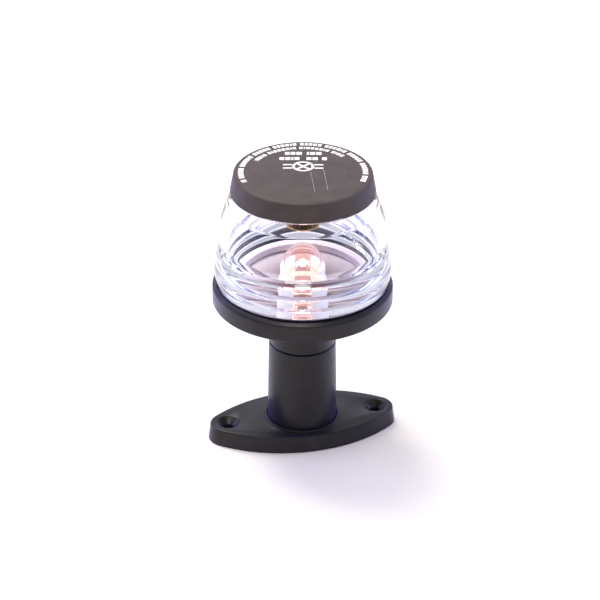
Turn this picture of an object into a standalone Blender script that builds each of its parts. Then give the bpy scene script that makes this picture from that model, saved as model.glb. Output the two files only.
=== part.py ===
"""All-round navigation light on a raised stand, modelled piece by piece.

Metres, +Z up. The origin is the centre of the foot's underside, +X runs along
the foot's long axis, and every turned piece stands on the Z axis. Heights are
measured from the deck.
"""
import math

import bpy
import bmesh
from mathutils import Vector

MM = 0.001
GAP = 0.3 * MM              # clearance between pieces that touch

# Foot: a pointed oval of two large arcs joined by small round ends
FOOT_HOLE_SPACING = 63.0 * MM
FOOT_END_RADIUS = 8.4 * MM
FOOT_HALF_WIDTH = 19.3 * MM
FOOT_THICKNESS = 7.0 * MM
FOOT_DRAFT = 0.8 * MM       # how far the wall leans in towards the top
FOOT_EDGE = 0.6 * MM        # chamfer round the top edge
FOOT_END_STEPS = 10
FOOT_SIDE_STEPS = 12
FIXING_RADIUS = 2.3 * MM
FIXING_SINK_RADIUS = 4.75 * MM
CABLE_WAY_RADIUS = 7.5 * MM
SOCKET_RADIUS = 14.7 * MM
SOCKET_FLOOR = 2.6 * MM
SOCKET_LIP_RADIUS = 16.2 * MM
SOCKET_LIP_TOP = 7.9 * MM

# Column: a tube that stands in the foot's socket and carries the head
COLUMN_BOTTOM_RADIUS = 14.4 * MM
COLUMN_TOP_RADIUS = 13.85 * MM
COLUMN_BORE = 11.5 * MM
COLUMN_TOP = 43.0 * MM
COLUMN_FLANGE_BORE = 7.8 * MM
COLUMN_FLANGE_TOP = 11.0 * MM
COLUMN_FLANGE_RUN = 1.5 * MM        # height of the slope from flange to bore
COLUMN_SCREW_REACH = 11.3 * MM
COLUMN_SCREW_SHANK = 1.3 * MM
COLUMN_SCREW_HEAD = 2.6 * MM
COLUMN_SCREW_LENGTH = 9.0 * MM
COLUMN_SCREW_SLOT = (0.7 * MM, 3.6 * MM, 0.8 * MM)       # width, length and depth
COLUMN_SEAL_THICKNESS = 0.5 * MM

# Head base: stub, round disc, and the ring that the lens screws onto
DISC_RADIUS = 37.0 * MM
DISC_BOTTOM = 62.6 * MM
DISC_EDGE_TOP = 69.8 * MM
RIM_TOP = 71.0 * MM
RIM_INNER_RADIUS = 35.3 * MM
HEAD_FLOOR = 66.2 * MM
GROOVE_FLOOR = 67.0 * MM
THREAD_RING_OUTER = 31.6 * MM
THREAD_RING_INNER = 28.6 * MM
THREAD_RING_TOP = 70.9 * MM
STUB_RADIUS = 13.6 * MM
STUB_FILLET = 1.6 * MM
STUB_BORE = 9.8 * MM
STUB_LEDGE = 45.5 * MM
SPIGOT_RADIUS = 11.2 * MM
SPIGOT_BOTTOM = 35.8 * MM
SPIGOT_BORE = 8.6 * MM
SEAL_GROOVE_RADIUS = 10.2 * MM
SEAL_GROOVE_LOW = 36.8 * MM
SEAL_GROOVE_HIGH = 38.2 * MM
DISC_CHAMFER = 0.6 * MM
LOCK_SCREW_HEIGHT = 40.2 * MM
LOCK_SCREW_RADIUS = 1.0 * MM
LOCK_SCREW_LENGTH = 4.4 * MM
LOCK_SCREW_COLLAR = 0.4 * MM
LOCK_SCREW_SLOT = (0.4 * MM, 1.2 * MM, 0.5 * MM)

# Lens: a barrel belt of even wall over a skirt with prism rings on its inner wall
LENS_BOTTOM = 68.9 * MM
LENS_SKIRT_OUTER = 34.9 * MM
LENS_SKIRT_INNER = 32.1 * MM
LENS_SKIRT_MAX = 36.3 * MM
LENS_SKIRT_MAX_HEIGHT = 78.5 * MM
LENS_SKIRT_BULGE = 0.45 * MM
LENS_FOOT_BULGE = 0.3 * MM
LENS_FOOT_CLEARANCE = 0.4 * MM       # height of the wall's curve over the rim
LENS_NOTCH_HEIGHT = 88.9 * MM
LENS_NOTCH_DEPTH = 0.7 * MM
LENS_BELT_FOOT = 34.2 * MM          # radius just over the notch
LENS_SKIRT_SHOULDER = 34.5 * MM     # and just under it
LENS_BELT_MAX = 34.4 * MM
LENS_BELT_MAX_HEIGHT = 91.5 * MM
LENS_BELT_BULGE = 0.75 * MM
LENS_RIDGE_RADIUS = 31.1 * MM
LENS_RIDGE_HEIGHT = 106.6 * MM
LENS_SHOULDER_RADIUS = 29.2 * MM
LENS_SHOULDER_HEIGHT = 112.2 * MM
LENS_NECK_RADIUS = 27.0 * MM
LENS_TOP = 115.3 * MM
LENS_ROOF = 113.2 * MM
LENS_ROOF_RADIUS = 25.8 * MM
LENS_BOSS_RADIUS = 6.4 * MM
LENS_BOSS_BOTTOM = 110.8 * MM
LENS_POST_HOLE = 4.4 * MM
BELT_INNER_LOW = (30.9 * MM, 90.8 * MM)
BELT_INNER_HIGH = (27.7 * MM, 106.2 * MM)
PRISM_LOW = 71.9 * MM
PRISM_LAND = 0.1 * MM               # rise between one ring's tip and the next one's root
PRISM_HOLLOW = -0.55 * MM           # each ring's face is a little hollow
# (root radius, tip radius, height) of each ring, from the lowest up
PRISM_RINGS = ((33.6 * MM, 29.3 * MM, 4.1 * MM),
               (34.2 * MM, 30.0 * MM, 4.6 * MM),
               (34.2 * MM, 31.4 * MM, 4.6 * MM))

# Cap on the lens, with the heat shield screwed to the post under it
CAP_BOTTOM = 112.5 * MM
CAP_SKIRT_RADIUS = 29.4 * MM
CAP_TOP_RADIUS = 28.1 * MM
CAP_EDGE_TOP = 120.4 * MM
CAP_CROWN = 121.0 * MM
CAP_CROWN_DROP = 0.25 * MM          # how far the crown falls to its edge
CAP_CROWN_SPAN = 0.85               # share of the top that the crown takes
CAP_EDGE = 0.6 * MM
CAP_WALL_INNER = 27.4 * MM
CAP_ROOF = 118.3 * MM
CAP_POST_RADIUS = 4.0 * MM           # the post carries the heat shield over the bulb
CAP_POST_BOTTOM = 98.1 * MM
CAP_PILOT_DEPTH = 10.0 * MM
SHIELD_RADIUS = 7.6 * MM
SHIELD_BOTTOM = 97.2 * MM
SHIELD_THICKNESS = 0.6 * MM
SHIELD_HOLE = 1.9 * MM
CAP_SCREW_SHANK = 1.15 * MM
CAP_SCREW_HEAD = 2.6 * MM
CAP_SCREW_LENGTH = 10.0 * MM
CAP_SCREW_SLOT = (0.7 * MM, 6.0 * MM, 0.6 * MM)
LENS_SEAL_THICKNESS = 0.65 * MM
LENS_SEAL_LIFT = 0.95 * MM          # its centre over the groove's floor

# Lampholder: a flanged nylon tube let into the stub, with two cheeks round the globe
PLATE_RADIUS = 27.8 * MM            # the insulating plate over its flange
PLATE_THICKNESS = 1.2 * MM
TRIM_RADIUS = 31.2 * MM             # the pale ring over the thread ring and the plate's edge
TRIM_SKIRT_OUTER = 28.3 * MM
TRIM_SKIRT_INNER = 27.5 * MM
TRIM_THICKNESS = 0.8 * MM
HOLDER_RADIUS = 9.3 * MM
HOLDER_BORE = 7.9 * MM
HOLDER_TOP = 78.0 * MM
CHEEK_BORE = 8.6 * MM
CHEEK_LOW = 69.4 * MM
HOLDER_STEP = 46.5 * MM             # below here the tube is narrow
HOLDER_BORE_STEP = 50.5 * MM
HOLDER_LOW_RADIUS = 8.2 * MM
HOLDER_LOW_BORE = 7.6 * MM
HOLDER_BOTTOM = 40.5 * MM
HOLDER_FLANGE_RADIUS = 16.0 * MM
HOLDER_FLANGE_THICKNESS = 1.0 * MM
HOLDER_LIP_RADIUS = 7.0 * MM
HOLDER_SCREW_REACH = 13.2 * MM
HOLDER_SCREW_SHANK = 1.25 * MM
HOLDER_SCREW_HEAD = 2.4 * MM
HOLDER_SCREW_DEPTH = 63.6 * MM
HOLDER_TURN = math.radians(35)      # where the bulb's pins lie at rest
BAYONET_TURN = math.radians(18)     # twist that frees the bulb
BAYONET_REACH = 8.7 * MM            # how deep the pin slots go into the wall
CHEEK_SLOT_TURN = math.radians(77)  # direction of the slots between the cheeks
CHEEK_SLOT_WIDTH = 7.0 * MM
CHEEK_SLOT_LOW = 70.0 * MM
PIN_ROOM = 0.4 * MM                 # play round the bulb's pins
SCREW_HEAD_HEIGHT = 1.5 * MM
HOLDER_SCREW_SLOT = (0.6 * MM, 6.0 * MM, 0.6 * MM)
INSULATOR_TOP = 49.5 * MM
INSULATOR_BOTTOM = 41.4 * MM
CONTACT_REACH = 3.6 * MM
CONTACT_BORE = 2.4 * MM
CONTACT_NECK = 1.7 * MM
CONTACT_NECK_HEIGHT = 48.5 * MM
PLUNGER_COLLAR_RADIUS = 2.1 * MM
PLUNGER_COLLAR_LOW = 46.7 * MM
PLUNGER_COLLAR_HIGH = 48.2 * MM
PLUNGER_STEM_RADIUS = 1.3 * MM
SPRING_RADIUS = 1.6 * MM
SPRING_WIRE = 0.22 * MM
SPRING_TURNS = 4
TAG_WIDTH = 4.0 * MM
TAG_THICKNESS = 0.5 * MM
TAG_OUTER = 6.4 * MM
TAG_INNER = 1.2 * MM
TAG_TOP = 41.1 * MM
TAG_BOTTOM = 34.5 * MM
TAG_SCREW_HEIGHT = 37.3 * MM
TAG_SCREW_SHANK = 1.0 * MM
TAG_SCREW_HEAD = 1.7 * MM
TAG_SCREW_HEAD_HEIGHT = 1.2 * MM
TAG_SCREW_LENGTH = 4.2 * MM
TAG_SCREW_SLOT = (0.5 * MM, 4.0 * MM, 0.5 * MM)

# Bulb: nickel-plated bayonet cap with two pins, and a round glass
BULB_CONTACT_PLANE = 53.0 * MM
BULB_CAP_RADIUS = 7.5 * MM
BULB_CAP_BORE = 7.0 * MM
BULB_CAP_LOW = 53.7 * MM
BULB_CAP_HIGH = 68.7 * MM
BULB_CAP_EDGE = 0.4 * MM
BULB_FACE = 53.6 * MM               # underside of the black glass round the contacts
BULB_PAD_RADIUS = 1.5 * MM
BULB_PAD_FACE = 1.2 * MM
PIN_ROOT = 0.1 * MM                 # how far a pin starts inside the cap's wall
BULB_LIP_BORE = 5.5 * MM
BULB_LIP_THICKNESS = 0.5 * MM
BULB_SHELF_THICKNESS = 2.0 * MM
BULB_PIN_HEIGHT = 59.9 * MM
BULB_PIN_RADIUS = 1.0 * MM
BULB_PIN_REACH = 8.4 * MM
BULB_PUSH = 2.2 * MM
GLOBE_CENTRE = 79.0 * MM
GLOBE_RADIUS = 8.0 * MM
GLOBE_WALL = 0.6 * MM
GLOBE_NECK_RADIUS = 6.3 * MM
GLOBE_NECK_BOTTOM = 67.5 * MM
STEM_RADIUS = 2.6 * MM
STEM_BOTTOM = 65.5 * MM
STEM_TOP = 72.0 * MM
STEM_TAPER = 3.0 * MM
FILAMENT_HALF_SPAN = 2.6 * MM
FILAMENT_COIL_RADIUS = 0.5 * MM
FILAMENT_WIRE = 0.14 * MM
FILAMENT_TURNS = 4
FILAMENT_DROP = 1.5 * MM            # from the coil to the ends of its two legs

# Cable grommet in the mouth of the foot
GROMMET_FLANGE_RADIUS = 10.5 * MM
GROMMET_TOP = 14.3 * MM
GROMMET_FLANGE_LOW = 12.8 * MM
GROMMET_BOTTOM = 0.5 * MM
GROMMET_BODY_RADIUS = 7.2 * MM
GROMMET_HOLE = 3.3 * MM
GROMMET_MOUTH = 2.0 * MM            # length of the taper at its lower end
GROMMET_TAPER = 0.6 * MM

LARGE_STEPS = 48            # sides of the large turned pieces
MEDIUM_STEPS = 32
ROUND_STEPS = 24
SMALL_STEPS = 16
TINY_STEPS = 12
CUT_MARGIN = 1.0 * MM       # how far a cutter runs past the face it opens


# ---------------------------------------------------------------- helpers
def clear_scene():
    for obj in list(bpy.data.objects):
        bpy.data.objects.remove(obj, do_unlink=True)


def new_collection(name):
    collection = bpy.data.collections.new(name)
    bpy.context.scene.collection.children.link(collection)
    return collection


def material(name, colour, roughness, metallic=0.0, transmission=0.0):
    mat = bpy.data.materials.new(name)
    mat.use_nodes = True
    shader = mat.node_tree.nodes["Principled BSDF"]
    shader.inputs["Base Color"].default_value = (*colour, 1.0)
    shader.inputs["Roughness"].default_value = roughness
    shader.inputs["Metallic"].default_value = metallic
    shader.inputs["Transmission Weight"].default_value = transmission
    mat.diffuse_color = (*colour, 1.0)
    return mat


def place(obj, mat=None, parent=None):
    """Link an object to the light's collection, with its material."""
    LIGHT.objects.link(obj)
    if mat:
        obj.data.materials.append(mat)
    if parent:
        obj.parent = parent
    return obj


def take_over(obj):
    """Move an object that an operator made out of the scene's collection."""
    for collection in list(obj.users_collection):
        collection.objects.unlink(obj)
    return obj


def as_cutter(obj):
    obj.hide_render = True
    obj.display_type = 'WIRE'
    CUTTERS.objects.link(take_over(obj))
    return obj


def spin(obj, steps):
    """Turn an object's profile about its own Z axis."""
    screw = obj.modifiers.new("Turn", 'SCREW')
    screw.axis = 'Z'
    screw.angle = math.tau
    screw.steps = steps
    screw.render_steps = steps
    screw.use_merge_vertices = True
    screw.merge_threshold = 0.00001
    screw.use_smooth_shade = True


def turned_object(name, profile, steps, closed=True):
    """Turn a profile of (radius, height) pairs about Z.

    The profile runs down the outer side first. A closed profile is a ring;
    an open one starts and ends on the axis.
    """
    count = len(profile)
    edges = [(i, i + 1) for i in range(count - 1)]
    if closed:
        edges.append((count - 1, 0))
    mesh = bpy.data.meshes.new(name)
    mesh.from_pydata([(r, 0.0, z) for r, z in profile], edges, [])
    obj = bpy.data.objects.new(name, mesh)
    spin(obj, steps)
    return obj


def turned(name, profile, steps, mat, closed=True, parent=None):
    return place(turned_object(name, profile, steps, closed), mat, parent)


def boolean(target, other, operation='DIFFERENCE'):
    modifier = target.modifiers.new(other.name, 'BOOLEAN')
    modifier.operation = operation
    modifier.solver = 'EXACT'
    modifier.object = other


def round_cutter(name, radius, low, high, steps=SMALL_STEPS):
    """A cylinder about Z from one height to another."""
    bpy.ops.mesh.primitive_cylinder_add(vertices=steps, radius=radius, depth=high - low,
                                        location=(0, 0, (low + high) / 2))
    cutter = as_cutter(bpy.context.object)
    cutter.name = name
    return cutter


def side_cutter(name, radius, near, far, height, angle):
    """A cylinder that lies along the direction `angle`, from near to far."""
    middle = (near + far) / 2
    bpy.ops.mesh.primitive_cylinder_add(
        vertices=SMALL_STEPS, radius=radius, depth=far - near,
        location=(middle * math.cos(angle), middle * math.sin(angle), height),
        rotation=(0, math.pi / 2, angle))
    cutter = as_cutter(bpy.context.object)
    cutter.name = name
    return cutter


def box_cutter(name, size, location, turn=0.0):
    bpy.ops.mesh.primitive_cube_add(size=1, location=location, rotation=(0, 0, turn))
    cutter = as_cutter(bpy.context.object)
    cutter.name = name
    cutter.scale = size
    return cutter


def polar(radius, angle):
    return radius * math.cos(angle), radius * math.sin(angle)


def wire(name, points, radius, mat, parent=None):
    """A round wire through the points."""
    curve = bpy.data.curves.new(name, 'CURVE')
    curve.dimensions = '3D'
    curve.bevel_depth = radius
    curve.bevel_resolution = 2
    curve.use_fill_caps = True
    spline = curve.splines.new('POLY')
    spline.points.add(len(points) - 1)
    for point, spot in zip(spline.points, points):
        point.co = (*spot, 1.0)
    return place(bpy.data.objects.new(name, curve), mat, parent)


def screw_profile(head_radius, head_height, shank_radius, length, countersunk):
    """Head at the top, its upper face at height 0; the shank points down."""
    edge = 0.25 * head_height
    if countersunk:
        head = [(head_radius, 0.0), (head_radius, -edge), (shank_radius, -head_height)]
    else:
        head = [(0.8 * head_radius, 0.0), (head_radius, -edge), (head_radius, -head_height),
                (shank_radius, -head_height)]
    tip = [(shank_radius, -length + shank_radius), (0.4 * shank_radius, -length)]
    return [(0.0, 0.0)] + head + tip + [(0.0, -length)]


def add_screw(name, mesh, location, rotation, slot_size, parent=None):
    """A screw with its own slot cutter, set with its head at the location."""
    obj = place(bpy.data.objects.new(name, mesh), None, parent)
    spin(obj, SMALL_STEPS)
    obj.location = location
    obj.rotation_euler = rotation
    width, length, depth = slot_size
    slot = box_cutter(name + "_slot", (length, width, 2 * depth), (0, 0, 0))
    slot.parent = obj
    boolean(obj, slot)
    return obj


def screw_mesh(name, mat, *shape):
    profile = screw_profile(*shape)
    mesh = bpy.data.meshes.new(name)
    edges = [(i, i + 1) for i in range(len(profile) - 1)]
    mesh.from_pydata([(r, 0.0, z) for r, z in profile], edges, [])
    mesh.materials.append(mat)
    return mesh


# ---------------------------------------------------------------- the stand
def foot_outline(inset):
    """The foot's outline, moved in by `inset`, as (x, y) points anticlockwise."""
    reach = FOOT_HOLE_SPACING / 2
    end = FOOT_END_RADIUS - inset
    half = FOOT_HALF_WIDTH - inset
    side = (reach ** 2 + half ** 2 - end ** 2) / (2 * (half - end))
    drop = side - half                      # the side arc's centre is this far over
    meet = math.atan2(drop, reach)          # where end arc and side arc meet
    half_turn = []
    for i in range(FOOT_END_STEPS + 1):
        x, y = polar(end, meet * (2 * i / FOOT_END_STEPS - 1))
        half_turn.append((reach + x, y))
    for i in range(1, FOOT_SIDE_STEPS):
        x, y = polar(side, meet + (math.pi - 2 * meet) * i / FOOT_SIDE_STEPS)
        half_turn.append((x, y - drop))
    return half_turn + [(-x, -y) for x, y in half_turn]


def make_foot():
    bm = bmesh.new()
    levels = ((0.0, 0.0),
              (FOOT_THICKNESS - FOOT_EDGE, FOOT_DRAFT),
              (FOOT_THICKNESS, FOOT_DRAFT + FOOT_EDGE))
    rings = []
    for height, inset in levels:
        ring = [bm.verts.new((x, y, height)) for x, y in foot_outline(inset)]
        rings.append(ring)
    for low, high in zip(rings, rings[1:]):
        for i, vert in enumerate(low):
            after = (i + 1) % len(low)
            bm.faces.new((vert, low[after], high[after], high[i]))
    bm.faces.new(reversed(rings[0]))
    bm.faces.new(rings[-1])
    mesh = bpy.data.meshes.new("foot_plate")
    bm.to_mesh(mesh)
    bm.free()
    foot = place(bpy.data.objects.new("foot_plate", mesh), PLASTIC)

    lip = turned_object("foot_lip", [
        (0.0, SOCKET_LIP_TOP),
        (SOCKET_LIP_RADIUS - FOOT_EDGE, SOCKET_LIP_TOP),
        (SOCKET_LIP_RADIUS, SOCKET_LIP_TOP - FOOT_EDGE),
        (SOCKET_LIP_RADIUS, SOCKET_FLOOR),
        (0.0, SOCKET_FLOOR)], LARGE_STEPS, closed=False)
    boolean(foot, as_cutter(lip), 'UNION')
    boolean(foot, round_cutter("foot_socket", SOCKET_RADIUS, SOCKET_FLOOR,
                               SOCKET_LIP_TOP + CUT_MARGIN, LARGE_STEPS))
    boolean(foot, round_cutter("foot_cable_way", CABLE_WAY_RADIUS, -CUT_MARGIN,
                               FOOT_THICKNESS, MEDIUM_STEPS))
    sink = FIXING_SINK_RADIUS - FIXING_RADIUS
    for side in (-1, 1):
        fixing = turned_object(f"foot_fixing_{side}", [
            (0.0, FOOT_THICKNESS + CUT_MARGIN),
            (FIXING_SINK_RADIUS + CUT_MARGIN, FOOT_THICKNESS + CUT_MARGIN),
            (FIXING_RADIUS, FOOT_THICKNESS - sink),
            (FIXING_RADIUS, -CUT_MARGIN),
            (0.0, -CUT_MARGIN)], ROUND_STEPS, closed=False)
        fixing.location.x = side * FOOT_HOLE_SPACING / 2
        boolean(foot, as_cutter(fixing))
        hole = turned_object(f"foot_column_screw_{side}", [
            (0.0, SOCKET_FLOOR + CUT_MARGIN),
            (COLUMN_SCREW_SHANK + GAP, SOCKET_FLOOR + CUT_MARGIN),
            (COLUMN_SCREW_SHANK + GAP, COLUMN_SCREW_HEAD - COLUMN_SCREW_SHANK + 3 * GAP),
            (COLUMN_SCREW_HEAD + GAP, 3 * GAP),
            (COLUMN_SCREW_HEAD + GAP, -CUT_MARGIN),
            (0.0, -CUT_MARGIN)], SMALL_STEPS, closed=False)
        hole.location.y = side * COLUMN_SCREW_REACH
        boolean(foot, as_cutter(hole))


def make_column():
    bottom = SOCKET_FLOOR + GAP
    column = turned("column_tube", [
        (COLUMN_TOP_RADIUS - GAP, COLUMN_TOP),
        (COLUMN_TOP_RADIUS, COLUMN_TOP - GAP),
        (COLUMN_BOTTOM_RADIUS, SOCKET_LIP_TOP),
        (COLUMN_BOTTOM_RADIUS, bottom),
        (COLUMN_FLANGE_BORE, bottom),
        (COLUMN_FLANGE_BORE, COLUMN_FLANGE_TOP),
        (COLUMN_BORE, COLUMN_FLANGE_TOP + COLUMN_FLANGE_RUN),
        (COLUMN_BORE, COLUMN_TOP)], LARGE_STEPS, PLASTIC)
    for side in (-1, 1):
        pilot = round_cutter(f"column_pilot_{side}", COLUMN_SCREW_SHANK + GAP,
                             0.0, COLUMN_FLANGE_TOP - CUT_MARGIN, TINY_STEPS)
        pilot.location.y = side * COLUMN_SCREW_REACH
        boolean(column, pilot)
    boolean(column, side_cutter("column_lock_hole", LOCK_SCREW_RADIUS + GAP, SPIGOT_RADIUS,
                                COLUMN_TOP_RADIUS + CUT_MARGIN, LOCK_SCREW_HEIGHT,
                                math.pi / 2))


def make_column_screws():
    head = COLUMN_SCREW_HEAD
    mesh = screw_mesh("column_screw", STEEL, head, head - COLUMN_SCREW_SHANK,
                      COLUMN_SCREW_SHANK, COLUMN_SCREW_LENGTH, True)
    for number, side in ((1, -1), (2, 1)):
        add_screw(f"column_screw_{number}", mesh,
                  (0.0, side * COLUMN_SCREW_REACH, GAP), (math.pi, 0.0, 0.0),
                  COLUMN_SCREW_SLOT)


def make_grommet():
    turned("cable_grommet", [
        (GROMMET_FLANGE_RADIUS, GROMMET_TOP),
        (GROMMET_FLANGE_RADIUS, GROMMET_FLANGE_LOW),
        (GROMMET_BODY_RADIUS, GROMMET_FLANGE_LOW),
        (GROMMET_BODY_RADIUS, GROMMET_BOTTOM + GROMMET_MOUTH),
        (GROMMET_BODY_RADIUS - GROMMET_TAPER, GROMMET_BOTTOM),
        (GROMMET_HOLE, GROMMET_BOTTOM),
        (GROMMET_HOLE, GROMMET_TOP)], ROUND_STEPS, RUBBER)


def o_ring(name, radius, thickness, height, steps, parent=None):
    bpy.ops.mesh.primitive_torus_add(location=(0, 0, height), major_radius=radius,
                                     minor_radius=thickness, major_segments=steps,
                                     minor_segments=8)
    ring = take_over(bpy.context.object)
    ring.name = name
    return place(ring, RUBBER, parent)


# ---------------------------------------------------------------- the head
def make_head_base():
    head = turned("head_base", [
        (RIM_INNER_RADIUS + GAP, RIM_TOP),
        (DISC_RADIUS - GAP, DISC_EDGE_TOP),
        (DISC_RADIUS, DISC_EDGE_TOP - GAP),
        (DISC_RADIUS, DISC_BOTTOM + DISC_CHAMFER),
        (DISC_RADIUS - DISC_CHAMFER, DISC_BOTTOM),
        (STUB_RADIUS + STUB_FILLET, DISC_BOTTOM),
        (STUB_RADIUS + 0.3 * STUB_FILLET, DISC_BOTTOM - 0.3 * STUB_FILLET),
        (STUB_RADIUS, DISC_BOTTOM - STUB_FILLET),
        (STUB_RADIUS, COLUMN_TOP + GAP),
        (SPIGOT_RADIUS, COLUMN_TOP + GAP),
        (SPIGOT_RADIUS, SEAL_GROOVE_HIGH),
        (SEAL_GROOVE_RADIUS, SEAL_GROOVE_HIGH),
        (SEAL_GROOVE_RADIUS, SEAL_GROOVE_LOW),
        (SPIGOT_RADIUS, SEAL_GROOVE_LOW),
        (SPIGOT_RADIUS, SPIGOT_BOTTOM),
        (SPIGOT_BORE, SPIGOT_BOTTOM),
        (SPIGOT_BORE, STUB_LEDGE),
        (STUB_BORE, STUB_LEDGE),
        (STUB_BORE, HEAD_FLOOR),
        (THREAD_RING_INNER, HEAD_FLOOR),
        (THREAD_RING_INNER, THREAD_RING_TOP),
        (THREAD_RING_OUTER, THREAD_RING_TOP),
        (THREAD_RING_OUTER, GROOVE_FLOOR),
        (RIM_INNER_RADIUS, GROOVE_FLOOR),
        (RIM_INNER_RADIUS, RIM_TOP - GAP)], LARGE_STEPS, PLASTIC)
    drill_for_holder_screws(head, HOLDER_SCREW_DEPTH - GAP, HEAD_FLOOR + CUT_MARGIN)
    boolean(head, side_cutter("spigot_lock_hole", LOCK_SCREW_RADIUS + GAP, SPIGOT_BORE + GAP,
                              SPIGOT_RADIUS + CUT_MARGIN, LOCK_SCREW_HEIGHT, math.pi / 2))


def make_lock_screw():
    """Grub screw through the back of the column into the spigot."""
    mesh = screw_mesh("head_lock_screw", STEEL, LOCK_SCREW_RADIUS, LOCK_SCREW_COLLAR,
                      LOCK_SCREW_RADIUS, LOCK_SCREW_LENGTH, False)
    add_screw("head_lock_screw", mesh, (0.0, COLUMN_TOP_RADIUS - GAP, LOCK_SCREW_HEIGHT),
              (-math.pi / 2, 0.0, 0.0), LOCK_SCREW_SLOT)


# ---------------------------------------------------------------- lens and cap
def arc_points(start, end, bulge, count):
    """Points after `start` up to `end` along a bowed line, in (radius, height)."""
    chord = Vector(end) - Vector(start)
    across = Vector((-chord.y, chord.x)).normalized()
    points = []
    for i in range(1, count + 1):
        t = i / count
        spot = Vector(start) + chord * t + across * bulge * 4 * t * (1 - t)
        points.append(tuple(spot))
    return points


def lens_profile():
    shoulder = (LENS_SHOULDER_RADIUS, LENS_SHOULDER_HEIGHT)
    ridge = (LENS_RIDGE_RADIUS, LENS_RIDGE_HEIGHT)
    belt = (LENS_BELT_MAX, LENS_BELT_MAX_HEIGHT)
    notch = (LENS_BELT_MAX - LENS_NOTCH_DEPTH, LENS_NOTCH_HEIGHT)
    widest = (LENS_SKIRT_MAX, LENS_SKIRT_MAX_HEIGHT)
    foot = (LENS_SKIRT_OUTER, RIM_TOP + LENS_FOOT_CLEARANCE)
    outer = [(LENS_POST_HOLE, LENS_TOP), (LENS_NECK_RADIUS, LENS_TOP),
             (LENS_NECK_RADIUS, LENS_SHOULDER_HEIGHT), shoulder, ridge]
    outer += arc_points(ridge, belt, LENS_BELT_BULGE, 5)
    outer += [(LENS_BELT_FOOT, LENS_NOTCH_HEIGHT + LENS_NOTCH_DEPTH), notch,
              (LENS_SKIRT_SHOULDER, LENS_NOTCH_HEIGHT - LENS_NOTCH_DEPTH)]
    outer += arc_points(outer[-1], widest, LENS_SKIRT_BULGE, 3)
    outer += arc_points(widest, foot, LENS_FOOT_BULGE, 3)
    inner = [(LENS_SKIRT_OUTER, LENS_BOTTOM), (LENS_SKIRT_INNER, LENS_BOTTOM),
             (LENS_SKIRT_INNER, PRISM_LOW)]
    low = PRISM_LOW
    for root, tip, rise in PRISM_RINGS:
        inner.append((root, low + PRISM_LAND))
        inner += arc_points(inner[-1], (tip, low + rise), PRISM_HOLLOW, 3)
        low += rise
    inner.append(BELT_INNER_LOW)
    inner += arc_points(BELT_INNER_LOW, BELT_INNER_HIGH, -LENS_BELT_BULGE, 5)
    inner += [(LENS_ROOF_RADIUS, LENS_ROOF), (LENS_BOSS_RADIUS, LENS_ROOF),
              (LENS_BOSS_RADIUS, LENS_BOSS_BOTTOM), (LENS_POST_HOLE, LENS_BOSS_BOTTOM)]
    return outer + inner


def make_lens(parent):
    turned("lens", lens_profile(), LARGE_STEPS, CLEAR, parent=parent)


def make_cap(parent):
    turned("lens_cap", [
        (0.0, CAP_CROWN),
        (CAP_CROWN_SPAN * CAP_TOP_RADIUS, CAP_CROWN - CAP_CROWN_DROP),
        (CAP_TOP_RADIUS - CAP_EDGE, CAP_EDGE_TOP),
        (CAP_TOP_RADIUS, CAP_EDGE_TOP - CAP_EDGE),
        (CAP_SKIRT_RADIUS, CAP_BOTTOM + GAP),
        (CAP_SKIRT_RADIUS - GAP, CAP_BOTTOM),
        (CAP_WALL_INNER, CAP_BOTTOM),
        (CAP_WALL_INNER, CAP_ROOF),
        (CAP_POST_RADIUS, CAP_ROOF),
        (CAP_POST_RADIUS, CAP_POST_BOTTOM),
        (CAP_SCREW_SHANK + GAP, CAP_POST_BOTTOM),
        (CAP_SCREW_SHANK + GAP, CAP_POST_BOTTOM + CAP_PILOT_DEPTH),
        (0.0, CAP_POST_BOTTOM + CAP_PILOT_DEPTH)], LARGE_STEPS, PLASTIC, closed=False,
           parent=parent)


def make_heat_shield(parent):
    top = SHIELD_BOTTOM + SHIELD_THICKNESS
    turned("heat_shield", [
        (SHIELD_HOLE, top),
        (SHIELD_RADIUS, top),
        (SHIELD_RADIUS, SHIELD_BOTTOM),
        (SHIELD_HOLE, SHIELD_BOTTOM)], MEDIUM_STEPS, BRASS, parent=parent)


def make_cap_screw(parent):
    mesh = screw_mesh("cap_screw", STEEL, CAP_SCREW_HEAD, SCREW_HEAD_HEIGHT, CAP_SCREW_SHANK,
                      CAP_SCREW_LENGTH, False)
    add_screw("cap_screw", mesh, (0.0, 0.0, SHIELD_BOTTOM - GAP - SCREW_HEAD_HEIGHT),
              (math.pi, 0.0, 0.0), CAP_SCREW_SLOT, parent)


# ---------------------------------------------------------------- lampholder
def flange_top():
    return HEAD_FLOOR + GAP + HOLDER_FLANGE_THICKNESS


def plate_top():
    return flange_top() + GAP + PLATE_THICKNESS


def holder_screw_spots():
    """Where the two lampholder screws stand, each as (number, x, y, angle)."""
    spots = []
    for number, side in ((1, 0.0), (2, math.pi)):
        angle = CHEEK_SLOT_TURN + math.pi / 2 + side
        spots.append((number, *polar(HOLDER_SCREW_REACH, angle), angle))
    return spots


def drill_for_holder_screws(target, low, high):
    for number, x, y, _ in holder_screw_spots():
        hole = round_cutter(f"{target.name}_screw_hole_{number}", HOLDER_SCREW_SHANK + GAP,
                            low, high, TINY_STEPS)
        hole.location.x = x
        hole.location.y = y
        boolean(target, hole)


def make_plate():
    """The insulating plate that clamps the lampholder's flange to the head."""
    low = flange_top() + GAP
    plate = turned("lampholder_plate", [
        (PLATE_RADIUS, plate_top()),
        (PLATE_RADIUS, low),
        (HOLDER_RADIUS + GAP, low),
        (HOLDER_RADIUS + GAP, plate_top())], LARGE_STEPS, LAMINATE)
    drill_for_holder_screws(plate, HEAD_FLOOR, plate_top() + CUT_MARGIN)


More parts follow.
